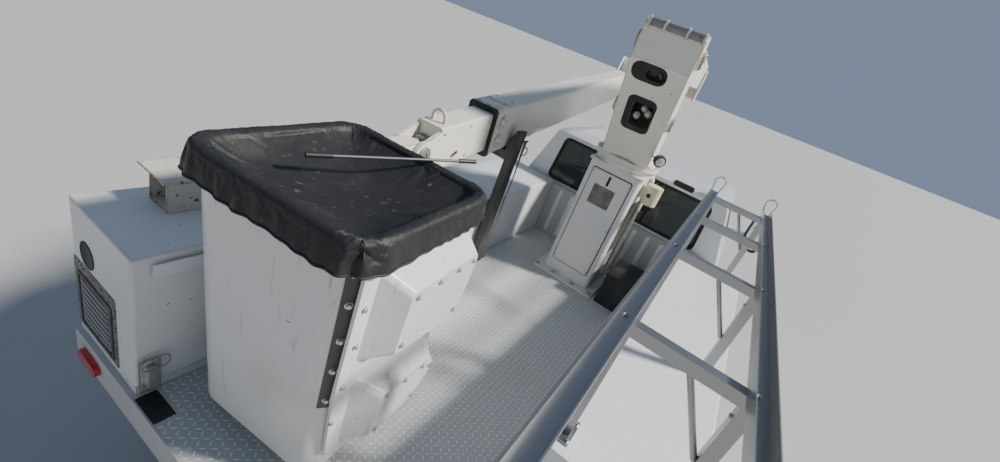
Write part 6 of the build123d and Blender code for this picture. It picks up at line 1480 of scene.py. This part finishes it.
def on_pane(y, z, out):
    """Points on the leaning rear pane, moved forward by out."""
    return np.column_stack([shell_x + REAR_LEAN * (z - PANE_FOOT) + out, y + 0 * z, z])


rear_y, rear_z = seal_path(REAR_PANE, PANE_CUT).T
piece("rear_window_seal", tube(on_pane(rear_y, rear_z, 0.004), SEAL_R, 8), seal_rubber, "cab_shell")
bar_z = np.linspace(1.535, 1.925, 6)
for k, y in enumerate((-0.245, 0.245)):
    piece(f"rear_window_bar_{k}", tube(on_pane(y, bar_z, 0.012), WINDOW_BAR_R, 8), seal_rubber, "cab_shell")
lamp_x, lamp_z = shell_x + 0.045, 1.985
roof_axes = facing((-1, 0, 0.35), (0, 1, 0))
brake_outline = rounded(0.330, 0.040, 0.018)
brake_lamp = slab(brake_outline, 0.012, 0.004, low=-0.02)
cargo_lamp = slab(rounded(0.180, 0.050, 0.016), 0.010, 0.004, low=-0.02)
lamp_rim = band(rounded(0.346, 0.056, 0.026), brake_outline, 0.006, -0.02)
for name, shape, y, finish in (("roof_brake_lamp", brake_lamp, 0.0, red_lens),
                               ("roof_cargo_lamp", cargo_lamp, -0.430, black_plastic),
                               ("roof_lamp_rim", lamp_rim, 0.0, black_plastic)):
    piece(name, many(shape, [(lamp_x, y, lamp_z)], roof_axes), finish, "cab_shell")
tally("rear window and roof lamps")

# %% [markdown]
# ## Cab: handles and mirrors
# Each door has a pull handle over a dished cup, and a tall mirror with a flat glass above a wide-angle
# one. They ride on the door, because a real mirror swings with it. Each could be a subdivided box, but
# a plate with a drawn-in edge has the same soft rim with far fewer faces, and flat glass stays flat.

# %% Handles and mirrors
HANDLE_BACK, HANDLE_Z, DOOR_SKIN_Y = 0.150, 1.300, 1.015
MIRROR_X, MIRROR_Y = 1.644, 1.230
handle = slab(rounded(0.170, 0.036, 0.017), 0.024, 0.007, low=-0.004)
cup = band(rounded(0.200, 0.066, 0.03), rounded(0.176, 0.044, 0.02), 0.003, -0.003)
mirror_shell = slab(rounded(0.366, 0.196, 0.040), 0.0945, 0.022)
for node, hand in (("cab_door_left", 1), ("cab_door_right", -1)):
    outward = facing((0, hand, 0), AHEAD)
    handle_at = [(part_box(node)[0].x + HANDLE_BACK, hand * DOOR_SKIN_Y, HANDLE_Z)]
    piece(node + "_handle", many(handle, handle_at, outward), black_plastic, node)
    piece(node + "_handle_cup", many(cup, handle_at, outward), black_plastic, node)
    shell_at = [(MIRROR_X - 0.0008, hand * MIRROR_Y, 1.560)]
    piece(node + "_mirror_shell", many(mirror_shell, shell_at, TO_FRONT), black_plastic, node)
    for name, tall, z in (("_mirror_glass", 0.205, 1.620), ("_mirror_wide", 0.090, 1.455)):
        face = slab(rounded(tall, 0.150, 0.03), 0.003, 0.001)
        piece(node + name, many(face, [(MIRROR_X, hand * MIRROR_Y, z)], TO_REAR), mirror_glass, node)
tally("handles and mirrors")

# %% [markdown]
# ## Seat
# The bench seat is upholstered foam, so it gets forms of its own in place of the frame's plain solid: a
# cushion and a back rest, crowned in the middle and drawn in at the seams between three places. Foam
# could be blown up as a cloth, but a bench is so firm that it hardly bulges, and a superellipse with
# pinched seams gives its shape exactly.

# %% Bench seat
seat_low, seat_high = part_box("seat")
SEAT_W = seat_high.y - seat_low.y
SEAT_RINGS, SEAT_AROUND, SEAT_PLACES = 121, 48, 3
SEAM_DEPTH, SEAM_W = 0.09, 0.05
SEAT_BASE_X = seat_low.x + 0.45


def cushion(length, height, crown):
    """A closed pad: its outline is a superellipse in section, |x|^4 + |z|^3.2 = 1, and its top rises and
    falls with the seams between the places, where it is drawn in."""
    s = np.linspace(-1, 1, SEAT_RINGS)[:, None]
    flat, tall = circle(SEAT_AROUND, 1)
    around_x = np.sign(flat) * np.abs(flat) ** 0.5
    around_z = np.sign(tall) * np.abs(tall) ** 0.62
    seam = 1 - SEAM_DEPTH * np.exp(-((np.abs(s) * SEAT_PLACES % 2 - 1) / SEAM_W) ** 2)
    end = (1 - np.abs(s) ** 14) ** 0.4
    x = length / 2 * around_x * end * (0.98 + 0.02 * seam)
    z = height / 2 * around_z * end * seam
    z = np.where(z > 0, z * (1 + crown * (1 - np.abs(around_x) ** 2)), z)
    points = np.stack([x, SEAT_W / 2 * s + 0 * x, z], -1)
    faces = (quads(SEAT_RINGS, SEAT_AROUND, True), *end_faces(SEAT_RINGS, SEAT_AROUND))
    return points.reshape(-1, 3), [group[:, ::-1] for group in faces]


base_axes = np.array([[0.997, 0, 0.07], [0, 1, 0], [-0.07, 0, 0.997]])
back_lean = unit([-0.13, 0, 1.0])
back_axes = np.array([back_lean, [0, 1, 0], np.cross(back_lean, [0, 1, 0])])
seat_pad = many(cushion(0.60, 0.17, 0.16), [(SEAT_BASE_X + 0.015, 0, 1.175)], base_axes)
back_pad = many(cushion(0.50, 0.13, 0.2), [(seat_low.x + 0.145, 0, 1.42)], back_axes)
cushion_piece = piece("seat_cushion", seat_pad, seat_cloth, "seat", crease=70)
back_piece = piece("seat_back", back_pad, seat_cloth, "seat", crease=70)
seat_base = slab(rounded(0.50, SEAT_W - 0.08, 0.03), 0.225, 0.01)
piece("seat_base", many(seat_base, [(SEAT_BASE_X, 0, 0.885)], LEVEL), black_plastic, "seat")
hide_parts("seat")
tally("seat")

# %% [markdown]
# ## Service body: latches and rivets
# Each compartment door has a flush pull latch with a lock beside it, and a row of rivets along its hinge
# leaf. The doors hinge on different edges: the wheel bay's at its foot, the middle one's at the rear
# and the front one's at the front, so each bay says where its latch and its rivets go.

# %% Latches and rivets
DOOR_Y, DOOR_GAP = 1.185, 0.004
RIVET_PITCH, RIVET_IN = 0.075, 0.022
latch_rim = band(rounded(0.132, 0.096, 0.014), rounded(0.118, 0.082, 0.009), 0.003, -0.003)
lock = turned([(0.011, 0.0), (0.011, 0.004), (0.009, 0.005), (0.003, 0.005), (0.003, 0.003),
               (0.001, 0.003)], 20)
rivet = turned([(0.0045, 0.0), (0.0040, 0.0012), (0.0022, 0.0022), (0.0005, 0.0024)], 10)


def rivet_row(start, end):
    """Evenly pitched stations that keep clear of both ends of an edge."""
    return np.arange(start + 0.06, end - 0.04, RIVET_PITCH)


for side, hand in (("left", 1), ("right", -1)):
    outward = facing((0, hand, 0))
    for bay in ("wheel", "middle", "front"):
        node = f"{bay}_bay_door_{side}"
        low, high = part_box(node)
        x0, x1, z0, z1 = low.x - DOOR_GAP, high.x + DOOR_GAP, low.z - DOOR_GAP, high.z + DOOR_GAP
        latch_at = {"wheel": ((x0 + x1) / 2, z1 - 0.120), "middle": (x1 - 0.130, (z0 + z1) / 2),
                    "front": (x0 + 0.130, (z0 + z1) / 2)}[bay]
        rim_at = [(latch_at[0], hand * (DOOR_Y - 0.005), latch_at[1])]
        piece(node + "_latch_rim", many(latch_rim, rim_at, facing((0, hand, 0), AHEAD)), zinc, node)
        lock_at = [(latch_at[0] + 0.030, hand * (DOOR_Y - 0.007), latch_at[1])]
        piece(node + "_lock", many(lock, lock_at, outward), chrome, node)
        rivet_y = hand * (DOOR_Y + 0.003)
        leaf_x = x0 + RIVET_IN if bay == "middle" else x1 - RIVET_IN
        if bay == "wheel":
            rivets = [(x, rivet_y, z0 + RIVET_IN) for x in rivet_row(x0, x1)]
        else:
            rivets = [(leaf_x, rivet_y, z) for z in rivet_row(z0, z1)]
        piece(node + "_rivets", many(rivet, rivets, outward), zinc, node)
tally("latches and rivets")

# %% [markdown]
# ## Headboard ribs
# The headboard behind the cab is pressed with nine upright ribs, which stiffen it. A rib is a low
# trapezium in section that fades out at both ends. The frame's own sheet stays flat, so the ribs lie
# on it as thin skins whose edges are sunk by half a millimetre.

# %% Headboard ribs
RIBS, RIB_STEPS, RIB_SPREAD, RIB_SINK = 9, 14, 0.52, 0.0005
rib_side, rib_out = np.array([(-0.022, 0.0), (-0.012, 0.010), (0.012, 0.010), (0.022, 0.0)]).T
rib_z = np.linspace(DECK + 0.03, deck_high.z - 0.03, RIB_STEPS)[:, None]
rib_fade = np.sqrt(np.clip(1 - np.abs(np.linspace(-1, 1, RIB_STEPS)) ** 8, 0, 1))[:, None]
rib = np.stack([rib_side + 0 * rib_z, rib_z - rib_z[0] + 0 * rib_side, rib_out * rib_fade - RIB_SINK], -1)
rib_shape = (rib.reshape(-1, 3), [quads(RIB_STEPS, len(rib_side))])
rib_places = [(deck_high.x - 0.030, y, rib_z[0, 0]) for y in np.linspace(-RIB_SPREAD, RIB_SPREAD, RIBS)]
piece("headboard_ribs", many(rib_shape, rib_places, CURTAIN), body_paint, "deck")
tally("headboard ribs")

# %% [markdown]
# ## Head lamps
# Each head lamp is round and set in a bright bezel. The bezel is an open ring, turned from its section
# and left without end faces, so that the glass behind it stays in view.

# %% Head lamp bezels
bezel_points, bezel_faces = turned([(0.084, -0.010), (0.084, 0.004), (0.082, 0.000), (0.074, 0.000),
                                    (0.070, 0.004)], 40)
bezel = (bezel_points, bezel_faces[:1])
lamps_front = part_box("lamps")[1].x
for side, hand in (("left", 1), ("right", -1)):
    for k, y in enumerate((0.690, 0.860)):
        bezel_at = [(lamps_front, hand * y, 1.045)]
        piece(f"lamp_bezel_{side}_{k}", many(bezel, bezel_at, TO_FRONT), chrome, "lamps")
tally("head lamps")

# %% [markdown]
# ## Under the hood
# With the hood up the engine shows. It gets what a mechanic would look for first: two ribbed valve
# covers with their bolts, a round air cleaner held by a wing nut, and its ribbed intake hose. The
# hose's ribs are a sine on its radius along the path, which is all that a ribbed hose is.

# %% Engine fittings
ENGINE_X, ENGINE_TOP = 2.440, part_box("engine_block")[1].z
COVER_YS = (-0.250, 0.250)
valve_cover = slab(rounded(0.640, 0.130, 0.030), 0.055, 0.014, low=-0.002)
valve_at = [(ENGINE_X, y, ENGINE_TOP) for y in COVER_YS]
piece("valve_covers", many(valve_cover, valve_at, LEVEL), iron, "engine_block")
valve_bolts = [(ENGINE_X + x, y, ENGINE_TOP + 0.053) for x in (-0.24, 0.0, 0.24) for y in COVER_YS]
bolts("valve_cover_bolts", 0.014, valve_bolts, UP, "engine_block", AHEAD)
cleaner = turned([(0.120, -0.002), (0.120, 0.030), (0.158, 0.036), (0.158, 0.078), (0.150, 0.088),
                  (0.040, 0.092), (0.032, 0.086), (0.014, 0.086), (0.012, 0.104), (0.001, 0.106)], 48)
piece("air_cleaner", many(cleaner, [(ENGINE_X, 0, ENGINE_TOP)], LEVEL), black_plastic, "engine_block")
hose_corners = [(0.12, 0.02, 0.055), (0.24, 0.06, 0.055), (0.33, 0.20, 0.050), (0.42, 0.33, 0.040)]
hose_path = smoothed(np.array(hose_corners) + (ENGINE_X, 0, ENGINE_TOP), 16)
hose_r = 0.030 + 0.003 * np.sin(np.arange(len(hose_path)) * np.pi / 2)
piece("intake_hose", tube(hose_path, hose_r[:, None, None], 16), seal_rubber, "engine_block")
tally("engine fittings")

# %% [markdown]
